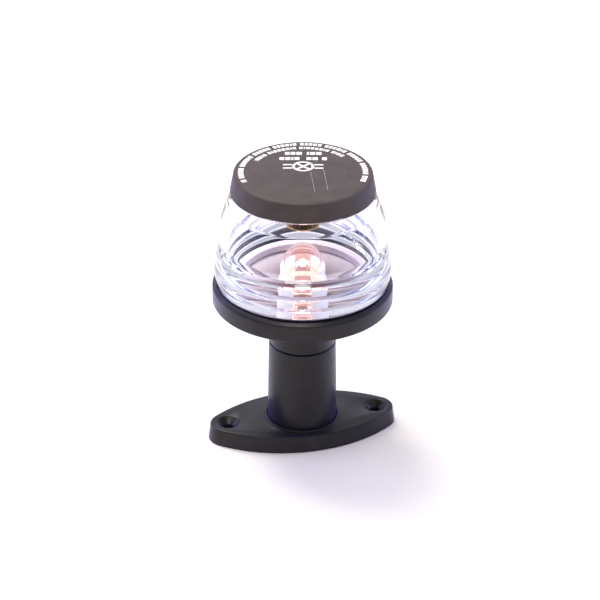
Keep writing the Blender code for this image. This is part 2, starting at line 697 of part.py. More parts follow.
def make_trim_ring():
    """The ring that covers the thread ring's top and holds the plate's edge down."""
    low = THREAD_RING_TOP + GAP
    turned("trim_ring", [
        (TRIM_RADIUS, low + TRIM_THICKNESS),
        (TRIM_RADIUS, low),
        (TRIM_SKIRT_OUTER, low),
        (TRIM_SKIRT_OUTER, plate_top() + GAP),
        (TRIM_SKIRT_INNER, plate_top() + GAP),
        (TRIM_SKIRT_INNER, low + TRIM_THICKNESS)], LARGE_STEPS, LAMINATE)


def make_lampholder():
    flange_low = HEAD_FLOOR + GAP
    holder = turned("lampholder_body", [
        (HOLDER_RADIUS - GAP, HOLDER_TOP),
        (HOLDER_RADIUS, HOLDER_TOP - GAP),
        (HOLDER_RADIUS, flange_top()),
        (HOLDER_FLANGE_RADIUS, flange_top()),
        (HOLDER_FLANGE_RADIUS, flange_low),
        (HOLDER_RADIUS, flange_low),
        (HOLDER_RADIUS, HOLDER_STEP),
        (HOLDER_LOW_RADIUS, HOLDER_STEP),
        (HOLDER_LOW_RADIUS, HOLDER_BOTTOM),
        (HOLDER_LIP_RADIUS, HOLDER_BOTTOM),
        (HOLDER_LIP_RADIUS, INSULATOR_BOTTOM - GAP),
        (HOLDER_LOW_BORE, INSULATOR_BOTTOM - GAP),
        (HOLDER_LOW_BORE, INSULATOR_TOP + GAP),
        (HOLDER_BORE, HOLDER_BORE_STEP),
        (HOLDER_BORE, CHEEK_LOW - GAP),
        (CHEEK_BORE, CHEEK_LOW),
        (CHEEK_BORE, HOLDER_TOP)], LARGE_STEPS, NYLON)
    window_low = BULB_PIN_HEIGHT - BULB_PIN_RADIUS - BULB_PUSH - PIN_ROOM
    window_high = BULB_PIN_HEIGHT + BULB_PIN_RADIUS + PIN_ROOM
    across = 2 * BAYONET_REACH
    pin_slot = 2 * (BULB_PIN_RADIUS + PIN_ROOM)
    window = pin_slot + HOLDER_BORE * BAYONET_TURN
    boolean(holder, box_cutter("bayonet_window", (across, window, window_high - window_low),
                               (0, 0, (window_low + window_high) / 2),
                               HOLDER_TURN + BAYONET_TURN / 2))
    entry_top = CHEEK_LOW + CUT_MARGIN
    boolean(holder, box_cutter("bayonet_entry", (across, pin_slot, entry_top - window_high + GAP),
                               (0, 0, (entry_top + window_high - GAP) / 2),
                               HOLDER_TURN + BAYONET_TURN))
    slot_top = HOLDER_TOP + CUT_MARGIN
    boolean(holder, box_cutter("cheek_slots", (2 * HOLDER_FLANGE_RADIUS, CHEEK_SLOT_WIDTH,
                                               slot_top - CHEEK_SLOT_LOW),
                               (0, 0, (slot_top + CHEEK_SLOT_LOW) / 2),
                               CHEEK_SLOT_TURN))
    drill_for_holder_screws(holder, HEAD_FLOOR, flange_top() + CUT_MARGIN)


def make_lampholder_screws():
    top = plate_top() + GAP + SCREW_HEAD_HEIGHT
    mesh = screw_mesh("lampholder_screw", STEEL, HOLDER_SCREW_HEAD, SCREW_HEAD_HEIGHT,
                      HOLDER_SCREW_SHANK, top - HOLDER_SCREW_DEPTH, False)
    for number, x, y, angle in holder_screw_spots():
        add_screw(f"lampholder_screw_{number}", mesh, (x, y, top), (0.0, 0.0, angle),
                  HOLDER_SCREW_SLOT)


def make_insulator():
    body = turned("lampholder_insulator", [
        (0.0, INSULATOR_TOP),
        (HOLDER_LOW_BORE - GAP, INSULATOR_TOP),
        (HOLDER_LOW_BORE - GAP, INSULATOR_BOTTOM),
        (0.0, INSULATOR_BOTTOM)], MEDIUM_STEPS, PHENOLIC, closed=False)
    for number, side in ((1, -1), (2, 1)):
        bore = turned_object(f"contact_bore_{number}", [
            (0.0, INSULATOR_TOP + CUT_MARGIN),
            (CONTACT_NECK, INSULATOR_TOP + CUT_MARGIN),
            (CONTACT_NECK, CONTACT_NECK_HEIGHT),
            (CONTACT_BORE, CONTACT_NECK_HEIGHT),
            (CONTACT_BORE, INSULATOR_BOTTOM - CUT_MARGIN),
            (0.0, INSULATOR_BOTTOM - CUT_MARGIN)], SMALL_STEPS, closed=False)
        bore.location.y = side * CONTACT_REACH
        boolean(body, as_cutter(bore))


def make_contacts():
    """Two sprung plungers in the insulator, and the tags their springs rest on."""
    for number, side in ((1, -1), (2, 1)):
        plunger = turned(f"contact_plunger_{number}", [
            (0.0, BULB_CONTACT_PLANE - GAP),
            (PLUNGER_STEM_RADIUS - GAP, BULB_CONTACT_PLANE - GAP),
            (PLUNGER_STEM_RADIUS, BULB_CONTACT_PLANE - 2 * GAP),
            (PLUNGER_STEM_RADIUS, PLUNGER_COLLAR_HIGH),
            (PLUNGER_COLLAR_RADIUS, PLUNGER_COLLAR_HIGH),
            (PLUNGER_COLLAR_RADIUS, PLUNGER_COLLAR_LOW),
            (0.0, PLUNGER_COLLAR_LOW)], TINY_STEPS, BRASS, closed=False)
        plunger.location.y = side * CONTACT_REACH

        low = INSULATOR_BOTTOM + SPRING_WIRE
        high = PLUNGER_COLLAR_LOW - GAP - SPRING_WIRE
        steps = 8 * SPRING_TURNS
        coil = []
        for i in range(steps + 1):
            x, y = polar(SPRING_RADIUS, math.tau * i / 8)
            coil.append((x, y, low + (high - low) * i / steps))
        spring = wire(f"contact_spring_{number}", coil, SPRING_WIRE, STEEL)
        spring.location.y = side * CONTACT_REACH

        make_terminal(number, side)


def make_terminal(number, side):
    """A bent brass tag under the insulator, with a screw for one core."""
    outline = [(TAG_INNER, TAG_TOP), (TAG_INNER, TAG_TOP - TAG_THICKNESS),
               (TAG_OUTER - TAG_THICKNESS, TAG_TOP - TAG_THICKNESS),
               (TAG_OUTER - TAG_THICKNESS, TAG_BOTTOM), (TAG_OUTER, TAG_BOTTOM),
               (TAG_OUTER, TAG_TOP)]
    curve = bpy.data.curves.new("tag_outline", 'CURVE')
    curve.dimensions = '2D'
    curve.fill_mode = 'BOTH'
    curve.extrude = TAG_WIDTH / 2
    spline = curve.splines.new('POLY')
    spline.points.add(len(outline) - 1)
    spline.use_cyclic_u = True
    for point, (y, z) in zip(spline.points, outline):
        point.co = (y, z, 0.0, 1.0)
    upright = math.pi / 2
    facing = upright if side > 0 else -upright
    flat = bpy.data.objects.new("tag_outline", curve)
    flat.rotation_euler = (upright, 0.0, facing)
    LIGHT.objects.link(flat)
    bpy.context.view_layer.update()
    evaluated = flat.evaluated_get(bpy.context.evaluated_depsgraph_get())
    mesh = bpy.data.meshes.new_from_object(evaluated)
    bm = bmesh.new()
    bm.from_mesh(mesh)
    bmesh.ops.remove_doubles(bm, verts=bm.verts, dist=0.01 * MM)
    bm.to_mesh(mesh)
    bm.free()
    mesh.materials.clear()
    tag = place(bpy.data.objects.new(f"terminal_tag_{number}", mesh), BRASS)
    tag.matrix_world = flat.matrix_world
    bpy.data.objects.remove(flat, do_unlink=True)
    boolean(tag, side_cutter(f"tag_hole_{number}", TAG_SCREW_SHANK + GAP, TAG_INNER,
                             TAG_OUTER + CUT_MARGIN, TAG_SCREW_HEIGHT,
                             side * math.pi / 2))
    mesh = screw_mesh(f"terminal_screw_{number}", STEEL, TAG_SCREW_HEAD,
                      TAG_SCREW_HEAD_HEIGHT, TAG_SCREW_SHANK, TAG_SCREW_LENGTH, False)
    add_screw(f"terminal_screw_{number}", mesh,
              (0.0, side * (TAG_OUTER + GAP + TAG_SCREW_HEAD_HEIGHT), TAG_SCREW_HEIGHT),
              (-side * math.pi / 2, 0.0, 0.0), TAG_SCREW_SLOT)


# ---------------------------------------------------------------- bulb
def make_bulb(parent):
    cap = turned("bulb_cap", [
        (BULB_CAP_RADIUS, BULB_CAP_HIGH),
        (BULB_CAP_RADIUS, BULB_CAP_LOW + BULB_CAP_EDGE),
        (BULB_CAP_RADIUS - BULB_CAP_EDGE, BULB_CAP_LOW),
        (BULB_LIP_BORE, BULB_CAP_LOW),
        (BULB_LIP_BORE, BULB_CAP_LOW + BULB_LIP_THICKNESS),
        (BULB_CAP_BORE, BULB_CAP_LOW + BULB_LIP_THICKNESS),
        (BULB_CAP_BORE, BULB_CAP_HIGH)], MEDIUM_STEPS, NICKEL, parent=parent)
    for number, angle in ((1, HOLDER_TURN), (2, HOLDER_TURN + math.pi)):
        pin = side_cutter(f"bulb_pin_{number}", BULB_PIN_RADIUS, BULB_CAP_BORE + PIN_ROOT,
                          BULB_PIN_REACH, BULB_PIN_HEIGHT, angle)
        boolean(cap, pin, 'UNION')

    shelf = BULB_CAP_LOW + BULB_LIP_THICKNESS + GAP
    turned("bulb_insulator", [
        (0.0, shelf + BULB_SHELF_THICKNESS),
        (BULB_CAP_BORE - GAP, shelf + BULB_SHELF_THICKNESS),
        (BULB_CAP_BORE - GAP, shelf),
        (BULB_LIP_BORE - GAP, shelf),
        (BULB_LIP_BORE - GAP, BULB_FACE),
        (0.0, BULB_FACE)], MEDIUM_STEPS, BLACK_GLASS, closed=False, parent=parent)
    for number, side in ((1, -1), (2, 1)):
        pad_top = BULB_CONTACT_PLANE + GAP
        pad = turned(f"bulb_contact_{number}", [
            (0.0, pad_top),
            (BULB_PAD_RADIUS, pad_top),
            (BULB_PAD_FACE, BULB_CONTACT_PLANE),
            (0.0, BULB_CONTACT_PLANE)], TINY_STEPS, SOLDER, closed=False, parent=parent)
        pad.location.y = side * CONTACT_REACH

    make_globe(parent)
    turned("bulb_stem", [
        (0.0, STEM_TOP),
        (0.6 * STEM_RADIUS, STEM_TOP),
        (STEM_RADIUS, STEM_TOP - STEM_TAPER),
        (STEM_RADIUS, STEM_BOTTOM),
        (0.0, STEM_BOTTOM)], SMALL_STEPS, CLEAR, closed=False, parent=parent)
    make_filament(parent)


def make_globe(parent):
    """The globe with its neck, open where the neck enters the bulb's cap."""
    steps = 9
    profiles = []
    for radius, neck in ((GLOBE_RADIUS, GLOBE_NECK_RADIUS),
                         (GLOBE_RADIUS - GLOBE_WALL, GLOBE_NECK_RADIUS - GLOBE_WALL)):
        last = math.pi - math.asin(neck / radius)
        points = []
        for i in range(steps + 1):
            angle = last * i / steps
            points.append((radius * math.sin(angle), GLOBE_CENTRE + radius * math.cos(angle)))
        points[0] = (0.0, GLOBE_CENTRE + radius)
        profiles.append(points + [(neck, GLOBE_NECK_BOTTOM)])
    turned("bulb_glass", profiles[0] + profiles[1][::-1], ROUND_STEPS, CLEAR, closed=False,
           parent=parent)


def make_filament(parent):
    """One wire: up from the stem, across in a coil, and down again."""
    foot_height = STEM_TOP + GAP
    coil_steps = 6 * FILAMENT_TURNS
    points = [(-0.4 * FILAMENT_HALF_SPAN, 0.0, foot_height),
              (-FILAMENT_HALF_SPAN, 0.0, GLOBE_CENTRE - FILAMENT_DROP)]
    for i in range(coil_steps + 1):
        t = i / coil_steps
        y, z = polar(FILAMENT_COIL_RADIUS, math.tau * FILAMENT_TURNS * t - math.pi / 2)
        points.append((FILAMENT_HALF_SPAN * (2 * t - 1), y, GLOBE_CENTRE + z))
    points += [(-x, y, z) for x, y, z in points[1::-1]]
    wire("bulb_filament", points, FILAMENT_WIRE, TUNGSTEN, parent)


# ---------------------------------------------------------------- the light
clear_scene()
LIGHT = new_collection("navigation_light")
CUTTERS = new_collection("cutters")

PLASTIC = material("black_plastic", (0.018, 0.017, 0.02), 0.45)
RUBBER = material("black_rubber", (0.012, 0.012, 0.012), 0.75)
CLEAR = material("clear_plastic", (0.95, 0.96, 1.0), 0.03, transmission=1.0)
STEEL = material("stainless_steel", (0.55, 0.55, 0.54), 0.3, 1.0)
NICKEL = material("nickel_plate", (0.72, 0.70, 0.66), 0.2, 1.0)
NYLON = material("white_nylon", (0.82, 0.80, 0.76), 0.5)
BRASS = material("brass", (0.80, 0.55, 0.22), 0.3, 1.0)
SOLDER = material("solder", (0.6, 0.6, 0.6), 0.4, 1.0)
LAMINATE = material("pale_laminate", (0.62, 0.55, 0.57), 0.45)
PHENOLIC = material("phenolic", (0.16, 0.06, 0.03), 0.55)
BLACK_GLASS = material("black_glass", (0.01, 0.01, 0.01), 0.1)
TUNGSTEN = material("tungsten", (0.35, 0.34, 0.33), 0.4, 1.0)

make_foot()
make_column()
make_column_screws()
make_grommet()
o_ring("column_seal", (SEAL_GROOVE_RADIUS + COLUMN_BORE) / 2, COLUMN_SEAL_THICKNESS,
       (SEAL_GROOVE_LOW + SEAL_GROOVE_HIGH) / 2, MEDIUM_STEPS)
make_head_base()
make_lock_screw()
make_plate()
make_trim_ring()
make_lampholder()
make_lampholder_screws()
make_insulator()
make_contacts()

bulb_axis = place(bpy.data.objects.new("bulb_axis", None))
make_bulb(bulb_axis)

lens_axis = place(bpy.data.objects.new("lens_axis", None))
o_ring("lens_seal", (THREAD_RING_OUTER + RIM_INNER_RADIUS) / 2, LENS_SEAL_THICKNESS,
       GROOVE_FLOOR + LENS_SEAL_LIFT, LARGE_STEPS, lens_axis)
make_lens(lens_axis)
make_cap(lens_axis)
make_heat_shield(lens_axis)
make_cap_screw(lens_axis)
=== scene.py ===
"""Looks for the all-round navigation light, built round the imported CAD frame.

Metres, +Z up, in the frame's own coordinates: the Z axis is the light's axis
and the deck is at height 0. Turned pieces are written as profiles of
(radius, height, fillet) in millimetres, in the same places as the CAD solids
that they stand for.
"""
import math

import bpy
import bmesh
from mathutils import Matrix, Vector


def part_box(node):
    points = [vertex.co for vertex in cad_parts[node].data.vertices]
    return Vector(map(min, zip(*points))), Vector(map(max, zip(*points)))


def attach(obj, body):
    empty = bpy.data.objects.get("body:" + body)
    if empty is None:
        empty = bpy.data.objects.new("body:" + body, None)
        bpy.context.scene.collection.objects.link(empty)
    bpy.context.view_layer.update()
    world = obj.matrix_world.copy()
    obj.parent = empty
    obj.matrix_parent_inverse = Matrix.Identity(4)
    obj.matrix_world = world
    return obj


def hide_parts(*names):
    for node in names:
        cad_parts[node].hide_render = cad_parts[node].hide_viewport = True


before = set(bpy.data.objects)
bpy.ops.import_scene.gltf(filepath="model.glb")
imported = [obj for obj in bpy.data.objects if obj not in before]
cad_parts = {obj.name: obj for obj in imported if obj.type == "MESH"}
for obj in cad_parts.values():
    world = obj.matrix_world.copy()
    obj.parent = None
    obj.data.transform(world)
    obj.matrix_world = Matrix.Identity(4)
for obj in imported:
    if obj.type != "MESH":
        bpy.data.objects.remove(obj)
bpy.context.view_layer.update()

MM = 0.001


# ------------------------------------------------------------------ camera
# A short telephoto about a metre away, looking down at the light with the
# foot's left end nearer
CAMERA_AZIMUTH = math.radians(-12.9)
CAMERA_REACH = 1000.0 * MM          # distance from the axis, along the floor
CAMERA_HEIGHT = 626.3 * MM
CAMERA_PITCH = math.radians(29.45)
CAMERA_YAW = math.radians(-0.06)
CAMERA_ROLL = math.radians(0.23)
CAMERA_LENS = 167.8                 # on the default 36 mm sensor


def make_camera():
    camera = bpy.data.objects.new("camera", bpy.data.cameras.new("camera"))
    bpy.context.scene.collection.objects.link(camera)
    camera.data.lens = CAMERA_LENS
    camera.data.clip_end = 20.0
    camera.location = (CAMERA_REACH * math.sin(CAMERA_AZIMUTH),
                       -CAMERA_REACH * math.cos(CAMERA_AZIMUTH), CAMERA_HEIGHT)
    heading = CAMERA_AZIMUTH - CAMERA_YAW
    turn = Matrix.Rotation(heading, 4, 'Z') @ Matrix.Rotation(math.pi / 2 - CAMERA_PITCH, 4, 'X')
    camera.rotation_euler = (turn @ Matrix.Rotation(CAMERA_ROLL, 4, 'Z')).to_euler()
    bpy.context.scene.camera = camera


# ------------------------------------------------------------------ materials
class Look:
    """A Principled material with shortcuts for its node tree."""

    def __init__(self, name, colour, roughness, metallic=0.0, **inputs):
        self.mat = bpy.data.materials.new(name)
        self.mat.use_nodes = True
        self.tree = self.mat.node_tree
        self.shader = self.tree.nodes["Principled BSDF"]
        self.set("Base Color", (*colour, 1.0))
        self.set("Roughness", roughness)
        self.set("Metallic", metallic)
        for key, value in inputs.items():
            self.set(key.replace("_", " "), value)

    def set(self, socket, value):
        self.shader.inputs[socket].default_value = value

    def node(self, kind, **settings):
        node = self.tree.nodes.new(kind)
        for key, value in settings.items():
            if key.startswith("in_"):
                node.inputs[key[3:].replace("_", " ")].default_value = value
            else:
                setattr(node, key, value)
        return node

    def link(self, source, target):
        self.tree.links.new(source, target)

    def position(self):
        return self.node("ShaderNodeTexCoord").outputs["Object"]

    def noise(self, scale, detail=4.0, stretch=None, roughness=0.5):
        noise = self.node("ShaderNodeTexNoise", in_Scale=scale, in_Detail=detail,
                          in_Roughness=roughness)
        source = self.position()
        if stretch:
            mapping = self.node("ShaderNodeMapping", in_Scale=stretch)
            self.link(source, mapping.inputs["Vector"])
            source = mapping.outputs["Vector"]
        self.link(source, noise.inputs["Vector"])
        return noise.outputs["Fac"]

    def ramp(self, factor, low, high, colour_low, colour_high):
        ramp = self.node("ShaderNodeValToRGB")
        ramp.color_ramp.elements[0].position = low
        ramp.color_ramp.elements[1].position = high
        ramp.color_ramp.elements[0].color = (*colour_low, 1.0)
        ramp.color_ramp.elements[1].color = (*colour_high, 1.0)
        self.link(factor, ramp.inputs["Fac"])
        return ramp.outputs["Color"]

    def spread(self, factor, low, high, to_low, to_high):
        """Map a factor's range onto another range, held at both ends."""
        spread = self.node("ShaderNodeMapRange")
        spread.inputs["From Min"].default_value = low
        spread.inputs["From Max"].default_value = high
        spread.inputs["To Min"].default_value = to_low
        spread.inputs["To Max"].default_value = to_high
        self.link(factor, spread.inputs["Value"])
        return spread.outputs["Result"]

    def mix(self, factor, first, second):
        mix = self.node("ShaderNodeMix", data_type='RGBA')
        self.link(factor, mix.inputs["Factor"])
        for value, socket in ((first, mix.inputs[6]), (second, mix.inputs[7])):
            if isinstance(value, tuple):
                socket.default_value = (*value, 1.0)
            else:
                self.link(value, socket)
        return mix.outputs[2]

    def bump(self, height, distance, strength=1.0, under=None):
        bump = self.node("ShaderNodeBump", in_Strength=strength, in_Distance=distance)
        self.link(height, bump.inputs["Height"])
        if under:
            self.link(under, bump.inputs["Normal"])
        return bump.outputs["Normal"]

    def use(self, socket, source):
        self.link(source, self.shader.inputs[socket])


PAINTED_EDGE_SHEEN_TINT = (0.16, 0.15, 0.80, 1.0)     # a painted violet sheen at grazing angles, standing in for the bluish side light reflected on black plastic
FILAMENT_GLOW = 220.0
HOT_FROM = (0.0777, 0.0784)             # heights between which the wire goes from grey to white
NYLON_GLOW = 0.4                        # stands for the lamp's light coming through
BULB_HALO = 0.07                        # the light that the envelope itself seems to hold
HALO_COLOUR = (1.0, 0.58, 0.52)
SCORCH_REACH = (0.012, 0.032)           # brownest up to the first radius, clean past the second
EDGE_HIGHLIGHT_GAIN = 3.2                      # how much lighter the painted highlight on a sharp edge is


def moulded_plastic(name, dark, light, roughness, gloss, grain, edge_highlight, sheen):
    """Moulded plastic: fine grain, faint mottling, a painted highlight on sharp edges and a painted violet
    edge sheen.
    """
    # The sheen tint gives the plastic a painted violet reflection on its edges
    look = Look(name, dark, roughness, Specular_IOR_Level=gloss, Sheen_Weight=sheen,
                Sheen_Roughness=0.35, Sheen_Tint=PAINTED_EDGE_SHEEN_TINT)
    mottle = look.noise(140.0, 5.0)
    colour = look.ramp(mottle, 0.35, 0.7, dark, light)
    if edge_highlight:
        # Sharp convex edges are made lighter here: a painted edge highlight
        geometry = look.node("ShaderNodeNewGeometry")
        edge = look.spread(geometry.outputs["Pointiness"], 0.53, 0.60, 0.0, edge_highlight)
        colour = look.mix(edge, colour, tuple(min(1.0, EDGE_HIGHLIGHT_GAIN * c) for c in light))
    look.use("Base Color", colour)
    look.use("Roughness", look.spread(look.noise(420.0, 3.0), 0.3, 0.7,
                                      roughness - 0.05, roughness + 0.07))
    fine = look.bump(look.noise(2600.0, 2.0), 0.00003, grain)
    look.use("Normal", look.bump(look.noise(320.0, 3.0), 0.00006, 0.5 * grain, fine))
    return look.mat


def clear_plastic(name, tint, ior, ripple, glow=0.0):
    """Clear moulding with the faint flow ripple that a moulded lens keeps."""
    look = Look(name, tint, 0.0, IOR=ior, Transmission_Weight=1.0)
    look.set("Emission Color", (*HALO_COLOUR, 1.0))
    look.set("Emission Strength", glow)
    look.use("Normal", look.bump(look.noise(90.0, 2.0, (1.0, 1.0, 0.5)), 0.00005, ripple))
    return look.mat


def metal(name, dark, light, roughness, stretch=(1.0, 1.0, 1.0), scale=600.0):
    look = Look(name, light, roughness, 1.0)
    tone = look.noise(scale, 4.0, stretch)
    look.use("Base Color", look.ramp(tone, 0.3, 0.7, dark, light))
    look.use("Roughness", look.spread(look.noise(900.0, 3.0, stretch), 0.3, 0.7,
                                      0.75 * roughness, 1.35 * roughness))
    look.use("Normal", look.bump(look.noise(2400.0, 2.0, stretch), 0.00002, 0.4))
    return look.mat


def rubber_look():
    look = Look("rubber", (0.012, 0.012, 0.013), 0.7)
    look.use("Base Color", look.ramp(look.noise(300.0), 0.3, 0.7, (0.009, 0.009, 0.01),
                                     (0.022, 0.021, 0.021)))
    look.use("Normal", look.bump(look.noise(1800.0, 3.0), 0.00004, 0.5))
    return look.mat


def nylon_look():
    """White nylon, slightly creamy, with some of the lamp's light coming through it."""
    look = Look("nylon", (0.86, 0.84, 0.80), 0.42)
    look.set("Emission Color", (1.0, 0.93, 0.88, 1.0))
    look.set("Emission Strength", NYLON_GLOW)
    look.use("Base Color", look.ramp(look.noise(260.0, 4.0), 0.3, 0.75, (0.80, 0.76, 0.68),
                                     (0.88, 0.87, 0.84)))
    look.use("Roughness", look.spread(look.noise(700.0, 3.0), 0.3, 0.7, 0.36, 0.50))
    look.use("Normal", look.bump(look.noise(1500.0, 2.0), 0.00003, 0.35))
    return look.mat


def laminate_look(name, dark, light, scorched=None):
    """Laminated sheet with a faint fibrous grain, browned round the lamp if it's near one."""
    look = Look(name, light, 0.4)
    fibre = look.noise(900.0, 5.0, (1.0, 0.12, 1.0))
    colour = look.ramp(fibre, 0.3, 0.7, dark, light)
    if scorched:
        reach = look.node("ShaderNodeVectorMath", operation='LENGTH')
        flat = look.node("ShaderNodeVectorMath", operation='MULTIPLY')
        flat.inputs[1].default_value = (1.0, 1.0, 0.0)
        look.link(look.position(), flat.inputs[0])
        look.link(flat.outputs["Vector"], reach.inputs[0])
        heat = look.spread(reach.outputs["Value"], *SCORCH_REACH, 1.0, 0.0)
        colour = look.mix(heat, colour, scorched)
    look.use("Base Color", colour)
    look.use("Normal", look.bump(fibre, 0.00003, 0.4))
    return look.mat


def black_glass_look():
    look = Look("black_glass", (0.012, 0.011, 0.012), 0.12)
    look.use("Roughness", look.spread(look.noise(800.0, 3.0), 0.3, 0.7, 0.08, 0.2))
    return look.mat


def filament_look():
    """Tungsten at white heat in the coil, and grey in the legs below it."""
    look = Look("filament", (0.35, 0.34, 0.33), 0.5)
    height = look.node("ShaderNodeSeparateXYZ")
    look.link(look.position(), height.inputs["Vector"])
    heat = look.spread(height.outputs["Z"], *HOT_FROM, 0.0, 1.0)
    look.use("Emission Color", look.mix(heat, (0.0, 0.0, 0.0), (1.0, 0.83, 0.62)))
    look.set("Emission Strength", FILAMENT_GLOW)
    look.use("Roughness", look.spread(look.noise(3000.0, 2.0), 0.3, 0.7, 0.4, 0.6))
    return look.mat


def print_look():
    """Pad-printed white ink, a little thin in places."""
    look = Look("white_ink", (0.85, 0.85, 0.84), 0.5)
    look.use("Base Color", look.ramp(look.noise(3500.0, 3.0), 0.28, 0.5,
                                     (0.42, 0.41, 0.41), (0.88, 0.88, 0.87)))
    return look.mat


def scratch_look():
    look = Look("scratch", (0.42, 0.40, 0.38), 0.6)
    look.use("Base Color", look.ramp(look.noise(1400.0, 3.0), 0.35, 0.6,
                                     (0.16, 0.15, 0.15), (0.50, 0.48, 0.47)))
    return look.mat


PLASTIC = moulded_plastic("black_plastic", (0.012, 0.0105, 0.012), (0.016, 0.0140, 0.016),
                          0.33, 0.28, 0.35, 0.25, 0.40)
# The cap's black is lighter and warmer than the other plastic: partly a lighter plastic, partly painted
# warm light from above on its crown
CAP_PLASTIC_TOP_LIT = moulded_plastic("cap_plastic", (0.074, 0.061, 0.057), (0.090, 0.074, 0.070),
                              0.48, 0.10, 0.5, 0.2, 0.16)
LENS_CLEAR = clear_plastic("lens_clear", (0.885, 0.90, 0.985), 1.49, 0.12)
BULB_CLEAR = clear_plastic("bulb_clear", (1.0, 0.84, 0.81), 1.5, 0.05, BULB_HALO)
RUBBER = rubber_look()
NICKEL = metal("nickel", (0.62, 0.60, 0.56), (0.80, 0.78, 0.75), 0.18)
STEEL = metal("steel", (0.42, 0.42, 0.41), (0.60, 0.60, 0.59), 0.3)
BRASS = metal("brass", (0.62, 0.38, 0.12), (0.85, 0.58, 0.22), 0.28)
SOLDER = metal("solder", (0.45, 0.45, 0.46), (0.62, 0.62, 0.62), 0.45)
NYLON = nylon_look()
LAMINATE = laminate_look("laminate", (0.72, 0.64, 0.67), (0.80, 0.73, 0.77),
                         (0.15, 0.062, 0.058))
PHENOLIC = laminate_look("phenolic", (0.12, 0.045, 0.022), (0.20, 0.080, 0.040))
BLACK_GLASS = black_glass_look()
FILAMENT = filament_look()
INK = print_look()
SCRATCH = scratch_look()


# ------------------------------------------------------------------ modelling
NEARLY_STRAIGHT = math.radians(89.0)    # half the angle at a corner not worth rounding


def rounded(profile, closed):
    """(radius, height, fillet) corners in mm to points in metres, corners rounded."""
    count = len(profile)
    points = []
    for i, (r, z, fillet) in enumerate(profile):
        corner = Vector((r, z))
        if fillet <= 0.0 or (not closed and i in (0, count - 1)):
            points.append(corner * MM)
            continue
        before = Vector(profile[i - 1][:2]) - corner
        after = Vector(profile[(i + 1) % count][:2]) - corner
        half = before.angle(after) / 2
        if half > NEARLY_STRAIGHT:
            points.append(corner * MM)
            continue
        run = min(fillet / math.tan(half), 0.49 * before.length, 0.49 * after.length)
        radius = run * math.tan(half)
        start = corner + before.normalized() * run
        end = corner + after.normalized() * run
        middle = (before.normalized() + after.normalized()).normalized()
        centre = corner + middle * (radius / math.sin(half))
        first, last = start - centre, end - centre
        steps = max(2, math.ceil(math.degrees(math.pi - 2 * half) / 12))
        sweep = first.angle_signed(last)
        for step in range(steps + 1):
            turned_to = first.copy()
            turned_to.rotate(Matrix.Rotation(-sweep * step / steps, 2))
            points.append((centre + turned_to) * MM)
    return points


def mesh_object(name, bm, mat, smooth_angle=35.0):
    mesh = bpy.data.meshes.new(name)
    bm.to_mesh(mesh)
    bm.free()
    mesh.materials.append(mat)
    mesh.shade_smooth()
    mesh.set_sharp_from_angle(angle=math.radians(smooth_angle))
    obj = bpy.data.objects.new(name, mesh)
    bpy.context.scene.collection.objects.link(obj)
    return obj


def turn_profile(bm, points, steps, closed):
    """Spin (radius, height) points about Z; a point on the axis stays single."""
    rings = []
    for r, z in points:
        if r < 1e-7:
            rings.append([bm.verts.new((0.0, 0.0, z))] * steps)
        else:
            rings.append([bm.verts.new((r * math.cos(math.tau * k / steps),
                                        r * math.sin(math.tau * k / steps), z))
                          for k in range(steps)])
    pairs = list(zip(rings, rings[1:]))
    if closed:
        pairs.append((rings[-1], rings[0]))
    for upper, lower in pairs:
        for k in range(steps):
            m = (k + 1) % steps
            corners = []
            for vert in (upper[k], lower[k], lower[m], upper[m]):
                if vert not in corners:
                    corners.append(vert)
            if len(corners) > 2:
                bm.faces.new(corners)


def turned(name, profile, mat, steps=144, closed=True, smooth_angle=35.0):
    bm = bmesh.new()
    turn_profile(bm, rounded(profile, closed), steps, closed)
    bmesh.ops.recalc_face_normals(bm, faces=bm.faces)
    return mesh_object(name, bm, mat, smooth_angle)


def box(size, centre, turn=0.0):
    """A box, in millimetres, for use as a cutter."""
    bm = bmesh.new()
    bmesh.ops.create_cube(bm, size=1.0)
    obj = mesh_object("box", bm, PLASTIC)
    obj.scale = [side * MM for side in size]
    obj.location = [part * MM for part in centre]
    obj.rotation_euler.z = turn
    return obj


def polar(radius, angle):
    return radius * math.cos(angle), radius * math.sin(angle)


def give(obj, body, slot, *nodes):
    """The piece rides on a body in place of CAD nodes; slot is not used."""
    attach(obj, body)
    if nodes:
        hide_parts(*nodes)
    return obj


def repaint(mat, *nodes):
    for node in nodes:
        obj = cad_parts[node]
        obj.data.materials.clear()
        obj.data.materials.append(mat)


def combine(obj, other, operation='DIFFERENCE', smooth_angle=35.0):
    """Apply a Boolean at once and drop the other object."""
    modifier = obj.modifiers.new("cut", 'BOOLEAN')
    modifier.operation = operation
    modifier.solver = 'EXACT'
    modifier.object = other
    bpy.context.view_layer.update()
    evaluated = obj.evaluated_get(bpy.context.evaluated_depsgraph_get())
    mesh = bpy.data.meshes.new_from_object(evaluated)
    obj.modifiers.remove(modifier)
    obj.data = mesh
    mesh.shade_smooth()
    mesh.set_sharp_from_angle(angle=math.radians(smooth_angle))
    bpy.data.objects.remove(other, do_unlink=True)


def drill(obj, profile, x, y, steps=48):
    """Cut a round hole, given as an open profile, at a place in millimetres."""
    cutter = turned("drill", profile, PLASTIC, steps, closed=False)
    cutter.location = (x * MM, y * MM, 0.0)
    combine(obj, cutter)


def arc(start, end, bow, count, fillet=0.0):
    """Points after `start` up to `end` along a bowed line, for a profile."""
    a, b = Vector(start[:2]), Vector(end[:2])
    across = Vector((a.y - b.y, b.x - a.x)).normalized()
    points = []
    for i in range(1, count + 1):
        t = i / count
        spot = a + (b - a) * t + across * bow * 4 * t * (1 - t)
        points.append((spot.x, spot.y, fillet))
    return points


# ------------------------------------------------------------------ lens
PRISM_RINGS = ((33.6, 29.3, 4.1), (34.2, 30.0, 4.6), (34.2, 31.4, 4.6))   # root, tip, rise
PRISM_LOW = 71.9
PRISM_BOW = -0.55


